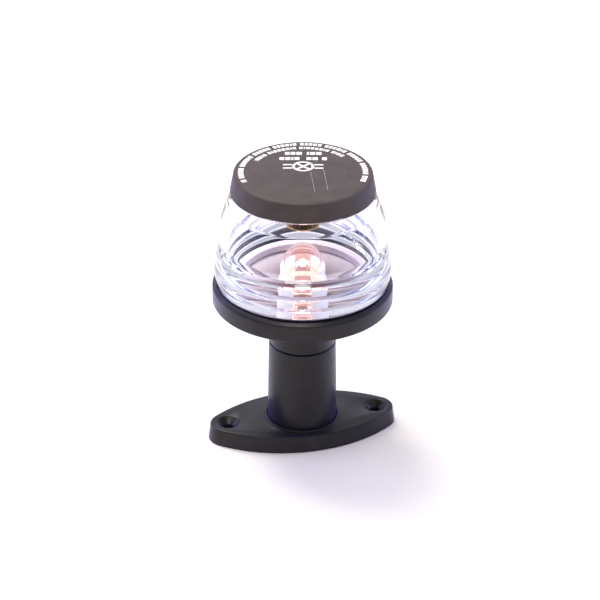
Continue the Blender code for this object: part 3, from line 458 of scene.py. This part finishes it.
def make_lens():
    belt_top, belt_low = (31.1, 106.6), (34.4, 91.5)
    widest = (36.3, 78.5, 0.0)
    outer = [(4.4, 115.3, 0.2), (27.0, 115.3, 0.5), (27.0, 112.2, 0.2), (29.2, 112.2, 0.25),
             (*belt_top, 0.2)]
    outer += arc(belt_top, belt_low, 0.75, 24)
    outer += [(34.2, 89.6, 0.3), (33.7, 88.9, 0.15), (34.5, 88.2, 0.25)]
    outer += arc(outer[-1], widest, 0.45, 14)
    outer += arc(widest, (34.9, 71.4), 0.3, 10)
    inner = [(34.9, 68.9, 0.2), (32.1, 68.9, 0.2), (32.1, PRISM_LOW, 0.0)]
    low = PRISM_LOW
    for root, tip, rise in PRISM_RINGS:
        inner.append((root, low + 0.1, 0.12))
        inner += arc((root, low + 0.1), (tip, low + rise), PRISM_BOW, 8)
        low += rise
    belt_foot, belt_head = (30.9, 90.8), (27.7, 106.2)
    inner.append((*belt_foot, 0.3))
    inner += arc(belt_foot, belt_head, -0.75, 24)
    inner += [(25.8, 113.2, 0.8), (6.4, 113.2, 0.5), (6.4, 110.8, 0.2), (4.4, 110.8, 0.1)]
    lens = turned("lens_shell", outer + inner, LENS_CLEAR, 224, smooth_angle=22.0)
    lens.visible_shadow = False
    give(lens, "lens", "lens_clear", "lens")


# ------------------------------------------------------------------ cap and its print
CAP_TOP = 120.95
CAP_CROWN_RADIUS = 300.0        # the crown is a very shallow dome
CAP_CROWN_SHARE = 0.4           # and only this share of that sphere's height
CAP_EDGE_RADIUS = 27.3
INK_THICKNESS = 0.03
DASH_GAP = 0.42


def crown(radius):
    """The cap's height at a radius, in millimetres."""
    return CAP_TOP - (CAP_CROWN_RADIUS - math.sqrt(CAP_CROWN_RADIUS ** 2 - radius ** 2)) * CAP_CROWN_SHARE


def make_cap():
    top = [(0.0, CAP_TOP, 0.0)]
    for i in range(1, 13):
        radius = CAP_EDGE_RADIUS * i / 12
        top.append((radius, crown(radius), 0.0))
    cap = turned("cap_shell", top + [
        (28.05, 120.05, 0.9), (29.4, 112.8, 0.25), (29.15, 112.5, 0.1), (27.4, 112.5, 0.2),
        (27.4, 118.3, 0.5), (4.0, 118.3, 0.4), (4.0, 98.1, 0.3), (1.45, 98.1, 0.1),
        (1.45, 108.1, 0.0), (0.0, 108.1, 0.0)], CAP_PLASTIC_TOP_LIT, 224, closed=False)
    give(cap, "lens", "cap_plastic", "lens_cap")


def ink_patch(bm, across, along):
    """A thin raised patch: two matching rows of (x, y) points, in millimetres."""
    low, high = [], []
    for x, y in across + along[::-1]:
        z = crown(math.hypot(x, y))
        low.append(bm.verts.new((x * MM, y * MM, (z - INK_THICKNESS) * MM)))
        high.append(bm.verts.new((x * MM, y * MM, (z + INK_THICKNESS) * MM)))
    count = len(low)
    half = len(across)
    for side, flip in ((low, True), (high, False)):
        for i in range(half - 1):
            quad = [side[i], side[count - 1 - i], side[count - 2 - i], side[i + 1]]
            bm.faces.new(quad[::-1] if flip else quad)
    for i in range(count):
        j = (i + 1) % count
        bm.faces.new((low[i], high[i], high[j], low[j]))


def ink_arc(bm, inner, outer, start, end, steps=4):
    """A patch between two radii and two angles."""
    angles = [start + (end - start) * i / steps for i in range(steps + 1)]
    ink_patch(bm, [polar(inner, a) for a in angles], [polar(outer, a) for a in angles])


def ink_bar(bm, x, y, length, width, turn=0.0):
    """A straight patch centred at x, y in the print's own axes."""
    cos, sin = math.cos(turn), math.sin(turn)
    rows = []
    for side in (-0.5, 0.5):
        row = []
        for i in range(5):
            u, v = length * (i / 4 - 0.5), width * side
            row.append(print_axes(x + u * cos - v * sin, y + u * sin + v * cos))
        rows.append(row)
    ink_patch(bm, *rows)


def print_axes(x, y):
    """From the print's own axes, read from in front of the light, to the frame's."""
    cos, sin = math.cos(CAMERA_AZIMUTH), math.sin(CAMERA_AZIMUTH)
    return x * cos - y * sin, x * sin + y * cos


def tick_ring(bm, radius, height, start, end, pattern):
    """Dashes round a ring between two angles; a negative length in the pattern is a gap."""
    angle = start
    step = 0
    while angle < end:
        length = pattern[step % len(pattern)] / radius
        step += 1
        if length < 0.0:
            angle -= length
            continue
        first = angle + CAMERA_AZIMUTH
        ink_arc(bm, radius - height / 2, radius + height / 2, first,
                first + min(length, end - angle))
        angle += length + DASH_GAP / radius


def make_print():
    """Generic marks in place of lettering: tick rings, two dashed rows, a lamp symbol."""
    bm = bmesh.new()
    # In each pattern a length is a dash, and a negative one is a gap
    tick_ring(bm, 25.0, 2.2, math.radians(-19), math.radians(202),
              (1.5, 1.2, 1.5, -1.1, 1.5, 0.7, 1.5, 1.5, 1.2, 1.5, -1.1, 1.5, 1.5))
    tick_ring(bm, 21.4, 2.0, math.radians(41), math.radians(153),
              (1.4, 1.4, 0.6, 1.4, -0.9, 1.4, 0.6, 1.4, 1.4))
    for y, dashes in ((16.2, (1.9, 1.9, 2.2, -1.2, 1.0, 1.9, 2.2)),
                      (11.3, (2.0, 2.0, 0.8, 2.0, -2.0, 2.0, 2.2, -0.8, 2.0))):
        total = sum(abs(dash) for dash in dashes) + DASH_GAP * (len(dashes) - 1)
        x = -total / 2
        for dash in dashes:
            if dash > 0.0:
                ink_bar(bm, x + dash / 2, y, dash, 2.6)
            x += abs(dash) + DASH_GAP
    symbol_y, symbol_radius, line = 4.2, 3.9, 1.05
    steps = 32
    for i in range(steps):
        first, last = math.tau * i / steps, math.tau * (i + 1.02) / steps
        rows = []
        for radius in (symbol_radius - line / 2, symbol_radius + line / 2):
            rows.append([print_axes(radius * math.cos(a), symbol_y + radius * math.sin(a))
                         for a in (first, last)])
        ink_patch(bm, *rows)
    for turn in (math.pi / 4, -math.pi / 4):
        ink_bar(bm, 0.0, symbol_y, 2 * symbol_radius - line, line, turn)
    for side in (-1, 1):
        for drop in (-1.5, 1.5):
            ink_bar(bm, side * 6.3, symbol_y + drop, 3.6, line)
    bmesh.ops.recalc_face_normals(bm, faces=bm.faces)
    give(mesh_object("cap_print", bm, INK, 80.0), "lens", "nylon")


def make_scratches():
    """Two hairline scratches on the front half of the cap."""
    bm = bmesh.new()
    for x, y, length, lean in ((3.8, -8.9, 17.0, 0.10), (9.0, -7.2, 18.5, 0.09)):
        ink_bar(bm, x, y, length, 0.14, lean - math.pi / 2)
    bmesh.ops.recalc_face_normals(bm, faces=bm.faces)
    give(mesh_object("cap_scratches", bm, SCRATCH, 80.0), "lens", "nylon")


# ------------------------------------------------------------------ stand
FOOT_HOLE_SPACING = 63.0
FOOT_END_RADIUS = 8.4
FOOT_HALF_WIDTH = 19.3
FOOT_THICKNESS = 7.0
FOOT_DRAFT = 0.8
FOOT_EDGE = 0.6
COLUMN_SCREW_REACH = 11.3
LOCK_SCREW_HEIGHT = 40.2
HOLDER_SCREW_REACH = 13.2
CHEEK_SLOT_TURN = math.radians(77)
HOLDER_SCREWS = [polar(HOLDER_SCREW_REACH, CHEEK_SLOT_TURN + side * math.pi / 2)
                 for side in (1, -1)]


def make_head():
    head = turned("head_shell", [
        (35.6, 71.0, 0.15), (36.85, 69.95, 0.25), (37.0, 69.5, 0.2), (37.0, 63.2, 0.3),
        (36.4, 62.6, 0.5), (15.2, 62.6, 0.0), (14.0, 62.2, 0.8), (13.6, 61.0, 0.8),
        (13.6, 43.3, 0.25), (11.2, 43.3, 0.1), (11.2, 38.2, 0.1), (10.2, 38.2, 0.1),
        (10.2, 36.8, 0.1), (11.2, 36.8, 0.1), (11.2, 35.8, 0.2), (8.6, 35.8, 0.2),
        (8.6, 45.5, 0.2), (9.8, 45.5, 0.2), (9.8, 66.2, 0.2), (28.6, 66.2, 0.6),
        (28.6, 70.9, 0.2), (31.6, 70.9, 0.2), (31.6, 67.0, 0.2), (35.3, 67.0, 0.2),
        (35.3, 71.0, 0.1)], PLASTIC, 224)
    for x, y in HOLDER_SCREWS:
        drill(head, [(0.0, 67.2, 0.0), (1.55, 67.2, 0.0), (1.55, 63.3, 0.0), (0.0, 63.3, 0.0)],
              x, y)
    give(head, "stand", "black_plastic", "head_base")


def make_column():
    column = turned("column_shell", [
        (13.5, 43.0, 0.1), (13.85, 42.65, 0.15), (14.4, 7.9, 0.0), (14.4, 2.9, 0.1),
        (7.8, 2.9, 0.1), (7.8, 11.0, 0.5), (11.5, 12.5, 0.5), (11.5, 43.0, 0.1)],
        PLASTIC, 192)
    for side in (-1, 1):
        drill(column, [(0.0, 10.0, 0.0), (1.6, 10.0, 0.0), (1.6, 0.0, 0.0), (0.0, 0.0, 0.0)],
              0.0, side * COLUMN_SCREW_REACH)
    lock = turned("lock_hole", [(0.0, 16.0, 0.0), (1.3, 16.0, 0.0), (1.3, 11.2, 0.0),
                                (0.0, 11.2, 0.0)], PLASTIC, 32, closed=False)
    lock.rotation_euler.x = -math.pi / 2
    lock.location.z = LOCK_SCREW_HEIGHT * MM
    combine(column, lock)
    give(column, "stand", "black_plastic", "column_tube")


def foot_outline(inset):
    """The foot's outline, moved in by `inset`, as (x, y) points anticlockwise."""
    reach = FOOT_HOLE_SPACING / 2
    end = FOOT_END_RADIUS - inset
    half = FOOT_HALF_WIDTH - inset
    side = (reach ** 2 + half ** 2 - end ** 2) / (2 * (half - end))
    drop = side - half                      # the side arc's centre is this far over
    meet = math.atan2(drop, reach)          # where end arc and side arc meet
    end_steps, side_steps = 36, 56
    half_turn = []
    for i in range(end_steps + 1):
        x, y = polar(end, meet * (2 * i / end_steps - 1))
        half_turn.append((reach + x, y))
    for i in range(1, side_steps):
        x, y = polar(side, meet + (math.pi - 2 * meet) * i / side_steps)
        half_turn.append((x, y - drop))
    return half_turn + [(-x, -y) for x, y in half_turn]


def make_foot():
    levels = [(0.0, 0.15), (0.15, 0.0), (FOOT_THICKNESS - FOOT_EDGE, FOOT_DRAFT)]
    for i in range(1, 7):
        angle = math.pi / 2 * i / 6
        levels.append((FOOT_THICKNESS - FOOT_EDGE * (1 - math.sin(angle)),
                       FOOT_DRAFT + FOOT_EDGE * (1 - math.cos(angle))))
    bm = bmesh.new()
    rings = []
    for height, inset in levels:
        rings.append([bm.verts.new((x * MM, y * MM, height * MM))
                      for x, y in foot_outline(inset)])
    for low, high in zip(rings, rings[1:]):
        for i, vert in enumerate(low):
            after = (i + 1) % len(low)
            bm.faces.new((vert, low[after], high[after], high[i]))
    bm.faces.new(reversed(rings[0]))
    bm.faces.new(rings[-1])
    foot = mesh_object("foot_shell", bm, PLASTIC)
    lip = turned("foot_lip", [(0.0, 7.9, 0.0), (16.2, 7.9, 0.45), (16.2, 7.2, 0.0),
                              (16.9, 6.9, 0.0), (16.9, 3.0, 0.0), (0.0, 3.0, 0.0)],
                 PLASTIC, 144, closed=False)
    combine(foot, lip, 'UNION')
    drill(foot, [(0.0, 9.0, 0.0), (14.95, 9.0, 0.0), (14.95, 7.95, 0.0), (14.7, 7.6, 0.0),
                 (14.7, 2.6, 0.0), (0.0, 2.6, 0.0)], 0.0, 0.0, 144)
    drill(foot, [(0.0, 5.0, 0.0), (7.5, 5.0, 0.0), (7.5, 0.3, 0.0), (8.3, -0.5, 0.0),
                 (0.0, -0.5, 0.0)], 0.0, 0.0, 96)
    for side in (-1, 1):
        drill(foot, [(0.0, 8.0, 0.0), (5.1, 8.0, 0.0), (5.1, 7.0, 0.0), (4.75, 6.85, 0.0),
                     (2.3, 4.4, 0.0), (2.3, -1.0, 0.0), (0.0, -1.0, 0.0)],
              side * FOOT_HOLE_SPACING / 2, 0.0, 64)
        drill(foot, [(0.0, 3.0, 0.0), (1.6, 3.0, 0.0), (1.6, 2.2, 0.0), (2.9, 0.9, 0.0),
                     (2.9, -1.0, 0.0), (0.0, -1.0, 0.0)], 0.0, side * COLUMN_SCREW_REACH)
    give(foot, "stand", "black_plastic", "foot_plate")


def make_grommet():
    grommet = turned("grommet_moulding", [
        (10.5, 14.3, 0.4), (10.5, 12.8, 0.3), (7.2, 12.8, 0.2), (7.2, 2.5, 0.4),
        (6.6, 0.5, 0.3), (3.3, 0.5, 0.4), (3.3, 14.3, 0.6)], RUBBER, 96)
    give(grommet, "stand", "rubber", "cable_grommet")


# ------------------------------------------------------------------ screws
THREAD_PITCH = 0.45             # these four are shares of the shank's radius
THREAD_ROOT = 0.86
THREAD_END = 0.9
SCREW_POINT = 0.35


def make_screw(name, body, node, head, turn, slot, length, shank, countersunk=False):
    """A slotted screw with a rolled thread; head is its radius, height and fillet."""
    radius, height, round_off = head
    if countersunk:
        profile = [(0.0, 0.0, 0.0), (radius, 0.0, 0.05), (radius, -0.3, 0.05),
                   (shank, -height, 0.1)]
    else:
        profile = [(0.0, 0.0, 0.0), (radius, 0.0, round_off), (radius, -height, 0.08)]
        if radius > shank:
            profile.append((shank, -height, 0.05))
    pitch = THREAD_PITCH * shank
    depth = -height - pitch
    while depth > -length + 1.2 * pitch:
        profile += [(shank, depth, 0.0), (THREAD_ROOT * shank, depth - 0.5 * pitch, 0.0)]
        depth -= pitch
    profile += [(THREAD_END * shank, depth, 0.0), (SCREW_POINT * shank, -length, 0.0), (0.0, -length, 0.0)]
    screw = turned(name, profile, STEEL, 64, closed=False)
    width, reach, sink = slot
    combine(screw, box((reach, width, 2 * sink), (0.0, 0.0, 0.0)))
    low, high = (Vector(corner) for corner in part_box(node))
    screw.matrix_world = screw_seat(low, high, turn)
    give(screw, body, "steel", node)


def screw_seat(low, high, turn):
    """Where a screw's head goes, from its node's box, the way it points and its own turn."""
    axis = Vector(turn[0])
    middle = (low + high) / 2
    reach = abs((high - low).dot(axis)) / 2
    return (Matrix.Translation(middle + axis * reach)
            @ axis.to_track_quat('Z', 'Y').to_matrix().to_4x4()
            @ Matrix.Rotation(turn[1], 4, 'Z'))


def make_screws():
    for number in (1, 2):
        make_screw(f"holder_screw_{number}", "stand", f"lampholder_screw_{number}",
                   (2.4, 1.5, 0.7), ((0, 0, 1), CHEEK_SLOT_TURN + 0.6 * number),
                   (0.6, 6.0, 0.6), 7.2, 1.25)
        side = 1 if number == 2 else -1
        make_screw(f"tag_screw_{number}", "stand", f"terminal_screw_{number}",
                   (1.7, 1.2, 0.5), ((0, side, 0), 0.4), (0.5, 4.0, 0.5), 4.2, 1.0)
        make_screw(f"foot_screw_{number}", "stand", f"column_screw_{number}",
                   (2.6, 1.3, 0.1), ((0, 0, -1), 0.9 * number), (0.7, 3.6, 0.8), 9.0, 1.3,
                   countersunk=True)
    make_screw("shield_screw", "lens", "cap_screw", (2.6, 1.5, 0.8), ((0, 0, -1), 0.5),
               (0.7, 6.0, 0.6), 10.0, 1.15)
    make_screw("grub_screw", "stand", "head_lock_screw", (1.0, 0.4, 0.1), ((0, 1, 0), 0.0),
               (0.4, 1.2, 0.5), 4.4, 1.0)


# ------------------------------------------------------------------ lampholder
HOLDER_TURN = math.radians(35)
BAYONET_TURN = math.radians(18)


def make_lampholder():
    holder = turned("lampholder_moulding", [
        (9.3, 78.0, 0.25), (9.3, 67.5, 0.1), (16.0, 67.5, 0.3), (16.0, 66.5, 0.2),
        (9.3, 66.5, 0.0), (9.3, 46.5, 0.3), (8.2, 46.5, 0.0), (8.2, 40.5, 0.2),
        (7.0, 40.5, 0.1), (7.0, 41.1, 0.0), (7.6, 41.1, 0.0), (7.6, 49.8, 0.0),
        (7.9, 50.5, 0.0), (7.9, 69.1, 0.1), (8.6, 69.4, 0.1), (8.6, 78.0, 0.25)], NYLON, 144)
    window_turn = HOLDER_TURN + BAYONET_TURN / 2
    combine(holder, box((17.4, 5.3, 5.0), (0.0, 0.0, 58.8), window_turn))
    combine(holder, box((17.4, 2.8, 9.4), (0.0, 0.0, 65.7), HOLDER_TURN + BAYONET_TURN))
    combine(holder, box((32.0, 7.0, 9.0), (0.0, 0.0, 74.5), CHEEK_SLOT_TURN))
    for x, y in HOLDER_SCREWS:
        drill(holder, [(0.0, 70.0, 0.0), (1.55, 70.0, 0.0), (1.55, 65.0, 0.0),
                       (0.0, 65.0, 0.0)], x, y)
    give(holder, "stand", "nylon", "lampholder_body")

    plate = turned("insulating_plate", [
        (27.8, 69.0, 0.15), (27.8, 67.8, 0.1), (9.6, 67.8, 0.1), (9.6, 69.0, 0.15)],
        LAMINATE, 144)
    for x, y in HOLDER_SCREWS:
        drill(plate, [(0.0, 70.0, 0.0), (1.55, 70.0, 0.0), (1.55, 66.0, 0.0),
                      (0.0, 66.0, 0.0)], x, y)
    give(plate, "stand", "laminate", "lampholder_plate")
    ring = turned("trim_ring_moulding", [
        (31.2, 72.0, 0.2), (31.2, 71.2, 0.1), (28.3, 71.2, 0.0), (28.3, 69.3, 0.1),
        (27.5, 69.3, 0.1), (27.5, 72.0, 0.3)], LAMINATE, 192)
    give(ring, "stand", "laminate", "trim_ring")


def make_shield():
    shield = turned("heat_shield_disc", [
        (1.9, 97.8, 0.05), (7.6, 97.8, 0.15), (7.6, 97.2, 0.15), (1.9, 97.2, 0.05)],
        BRASS, 96)
    give(shield, "lens", "brass", "heat_shield")


def make_seals():
    for name, body, node, radius, thickness, height in (
            ("lens_o_ring", "seal", "lens_seal", 33.45, 0.65, 67.95),
            ("column_o_ring", "stand", "column_seal", 10.85, 0.5, 37.5)):
        steps = 16
        profile = []
        for i in range(steps):
            x, y = polar(thickness, -math.tau * i / steps)
            profile.append((radius + x, height + y, 0.0))
        give(turned(name, profile, RUBBER, 144), body, "rubber", node)


# ------------------------------------------------------------------ bulb
GLOBE_CENTRE = 79.0
GLOBE_RADIUS = 8.0
GLOBE_WALL = 0.6
FILAMENT_SPAN = 2.6
FILAMENT_RADIUS = 0.45
FILAMENT_WIRE = 0.13
FILAMENT_TURNS = 11


def make_bulb():
    cap = turned("bulb_cap_shell", [
        (7.5, 68.7, 0.0), (7.5, 66.9, 0.2), (7.3, 66.5, 0.2), (7.5, 66.1, 0.2),
        (7.5, 54.1, 0.3), (7.1, 53.7, 0.2), (5.5, 53.7, 0.1), (5.5, 54.2, 0.0),
        (7.0, 54.2, 0.1), (7.0, 68.7, 0.0)], NICKEL, 128)
    for side in (0.0, math.pi):
        pin = turned("pin", [(0.0, 8.4, 0.0), (0.7, 8.4, 0.0), (1.0, 8.1, 0.0),
                             (1.0, 7.1, 0.0), (0.0, 7.1, 0.0)], NICKEL, 32, closed=False)
        pin.matrix_world = (Matrix.Rotation(HOLDER_TURN + side, 4, 'Z')
                            @ Matrix.Rotation(math.pi / 2, 4, 'Y'))
        pin.location.z = 59.9 * MM
        combine(cap, pin, 'UNION')
    give(cap, "bulb", "nickel", "bulb_cap")

    glass = turned("bulb_envelope", globe_profile(), BULB_CLEAR, 128, closed=False)
    glass.visible_shadow = False
    give(glass, "bulb", "bulb_clear", "bulb_glass")

    stem = turned("bulb_mount", [
        (0.0, 72.0, 0.0), (1.5, 72.0, 0.4), (2.6, 69.0, 0.6), (2.6, 65.5, 0.3),
        (0.0, 65.5, 0.0)], BULB_CLEAR, 48, closed=False)
    stem.visible_shadow = False
    give(stem, "bulb", "bulb_clear", "bulb_stem")
    make_filament()


def globe_profile():
    """Outer wall down to the neck's foot, and the inner wall back up."""
    walls = []
    steps = 40
    for radius, neck in ((GLOBE_RADIUS, 6.3), (GLOBE_RADIUS - GLOBE_WALL, 6.3 - GLOBE_WALL)):
        last = math.pi - math.asin(neck / radius)
        wall = []
        for i in range(steps + 1):
            angle = last * i / steps
            wall.append((radius * math.sin(angle), GLOBE_CENTRE + radius * math.cos(angle), 0.0))
        wall[0] = (0.0, GLOBE_CENTRE + radius, 0.0)
        walls.append(wall + [(neck, 67.5, 0.0)])
    return walls[0] + walls[1][::-1]


def make_filament():
    """One wire: up from the stem, across in a coil, and down again."""
    steps = 12 * FILAMENT_TURNS
    points = [(-0.4 * FILAMENT_SPAN, 0.0, 72.3), (-FILAMENT_SPAN, 0.0, GLOBE_CENTRE - 1.5)]
    for i in range(steps + 1):
        t = i / steps
        y, z = polar(FILAMENT_RADIUS, math.tau * FILAMENT_TURNS * t - math.pi / 2)
        points.append((FILAMENT_SPAN * (2 * t - 1), y, GLOBE_CENTRE + z))
    points += [(-x, y, z) for x, y, z in points[1::-1]]
    curve = bpy.data.curves.new("filament_wire", 'CURVE')
    curve.dimensions = '3D'
    curve.bevel_depth = FILAMENT_WIRE * MM
    curve.bevel_resolution = 2
    curve.use_fill_caps = True
    spline = curve.splines.new('POLY')
    spline.points.add(len(points) - 1)
    for point, spot in zip(spline.points, points):
        point.co = (*(part * MM for part in spot), 1.0)
    curve.materials.append(FILAMENT)
    wire = bpy.data.objects.new("filament_wire", curve)
    bpy.context.scene.collection.objects.link(wire)
    give(wire, "bulb", "tungsten", "bulb_filament")


# ------------------------------------------------------------------ stage
def make_floor():
    bm = bmesh.new()
    bmesh.ops.create_grid(bm, x_segments=1, y_segments=1, size=4.0)
    look = Look("floor", (0.93, 0.90, 0.84), 0.8, Specular_IOR_Level=0.1)
    look.use("Base Color", look.ramp(look.noise(6.0), 0.3, 0.7, (0.925, 0.895, 0.835),
                                     (0.935, 0.905, 0.845)))
    floor = mesh_object("floor", bm, look.mat)
    floor.location.z = -0.0002


def towards(angle, distance, height):
    """A place at an angle from the camera's side of the light, anticlockwise from above."""
    heading = CAMERA_AZIMUTH - math.pi / 2 + angle
    return distance * math.cos(heading), distance * math.sin(heading), height


def soft_light(name, size, location, aim, radiance, colour=(1.0, 1.0, 1.0)):
    """A rectangular softbox whose face has the radiance given."""
    light = bpy.data.lights.new(name, 'AREA')
    light.shape = 'RECTANGLE'
    light.size, light.size_y = size
    light.energy = radiance * math.pi * size[0] * size[1]
    light.color = colour
    obj = bpy.data.objects.new(name, light)
    obj.location = location
    obj.rotation_euler = (Vector(aim) - Vector(location)).to_track_quat('-Z', 'Y').to_euler()
    bpy.context.scene.collection.objects.link(obj)
    return obj


WORLD_STRENGTH = 0.9
SIDE_COLOUR = (0.26, 0.32, 0.80)
BULB_POWER = 0.002


def make_world():
    """Warm white behind, lilac to both sides, dim and reddish towards the camera."""
    world = bpy.data.worlds.new("studio")
    world.use_nodes = True
    tree = world.node_tree
    background = tree.nodes["Background"]
    background.inputs["Strength"].default_value = WORLD_STRENGTH
    coordinate = tree.nodes.new("ShaderNodeTexCoord")
    share = []
    for axis in (towards(0.0, 1.0, 0.0), towards(math.pi / 2, 1.0, 0.0)):
        dot = tree.nodes.new("ShaderNodeVectorMath")
        dot.operation = 'DOT_PRODUCT'
        dot.inputs[1].default_value = axis
        tree.links.new(coordinate.outputs["Generated"], dot.inputs[0])
        share.append(dot.outputs["Value"])
    front, side = share
    size = tree.nodes.new("ShaderNodeMath")
    size.operation = 'ABSOLUTE'
    tree.links.new(side, size.inputs[0])
    back_ramp = tree.nodes.new("ShaderNodeValToRGB")
    back_ramp.color_ramp.elements[0].position = 0.0
    back_ramp.color_ramp.elements[0].color = (1.0, 0.98, 0.95, 1.0)
    back_ramp.color_ramp.elements[1].position = 0.75
    back_ramp.color_ramp.elements[1].color = (0.34, 0.25, 0.25, 1.0)
    tree.links.new(front, back_ramp.inputs["Fac"])
    side_ramp = tree.nodes.new("ShaderNodeValToRGB")
    side_ramp.color_ramp.elements[0].position = 0.45
    side_ramp.color_ramp.elements[0].color = (0.0, 0.0, 0.0, 1.0)
    side_ramp.color_ramp.elements[1].position = 0.9
    side_ramp.color_ramp.elements[1].color = (1.0, 1.0, 1.0, 1.0)
    tree.links.new(size.outputs[0], side_ramp.inputs["Fac"])
    mix = tree.nodes.new("ShaderNodeMix")
    mix.data_type = 'RGBA'
    tree.links.new(side_ramp.outputs["Color"], mix.inputs["Factor"])
    tree.links.new(back_ramp.outputs["Color"], mix.inputs[6])
    mix.inputs[7].default_value = (*SIDE_COLOUR, 1.0)
    tree.links.new(mix.outputs[2], background.inputs["Color"])
    bpy.context.scene.world = world


LOW_LIGHT = 0.175               # the height of the side softboxes' centres, in metres


def make_lights():
    make_world()
    for name, angle in (("left", -1.87), ("right", 1.80)):
        soft_light(name, (0.26, 0.22), towards(angle, 0.42, LOW_LIGHT), (0.0, 0.0, LOW_LIGHT), 4.6,
                   (0.50, 0.56, 1.0))
    soft_light("top", (0.5, 0.5), towards(-2.5, 0.55, 1.1), (0.0, 0.0, 0.05), 14.0,
               (1.0, 0.95, 0.88))
    soft_light("front", (0.35, 0.18), towards(-0.15, 0.35, 0.85), (0.0, 0.0, 0.08), 11.0,
               (1.0, 0.94, 0.92))
    bulb = bpy.data.lights.new("bulb", 'POINT')
    bulb.energy = BULB_POWER
    bulb.color = (1.0, 0.66, 0.56)
    bulb.shadow_soft_size = 0.0015
    glow = bpy.data.objects.new("bulb", bulb)
    glow.location = (0.0, 0.0, GLOBE_CENTRE * MM)
    bpy.context.scene.collection.objects.link(glow)


# ------------------------------------------------------------------ all of it
make_camera()
make_lens()
make_cap()
make_print()
make_scratches()
make_head()
make_column()
make_foot()
make_grommet()
make_screws()
make_lampholder()
make_shield()
make_seals()
make_bulb()
repaint(BRASS, "terminal_tag_1", "terminal_tag_2", "contact_plunger_1", "contact_plunger_2")
repaint(STEEL, "contact_spring_1", "contact_spring_2")
repaint(PHENOLIC, "lampholder_insulator")
repaint(BLACK_GLASS, "bulb_insulator")
repaint(SOLDER, "bulb_contact_1", "bulb_contact_2")
make_floor()
make_lights()
bpy.context.scene.view_settings.view_transform = 'Standard'
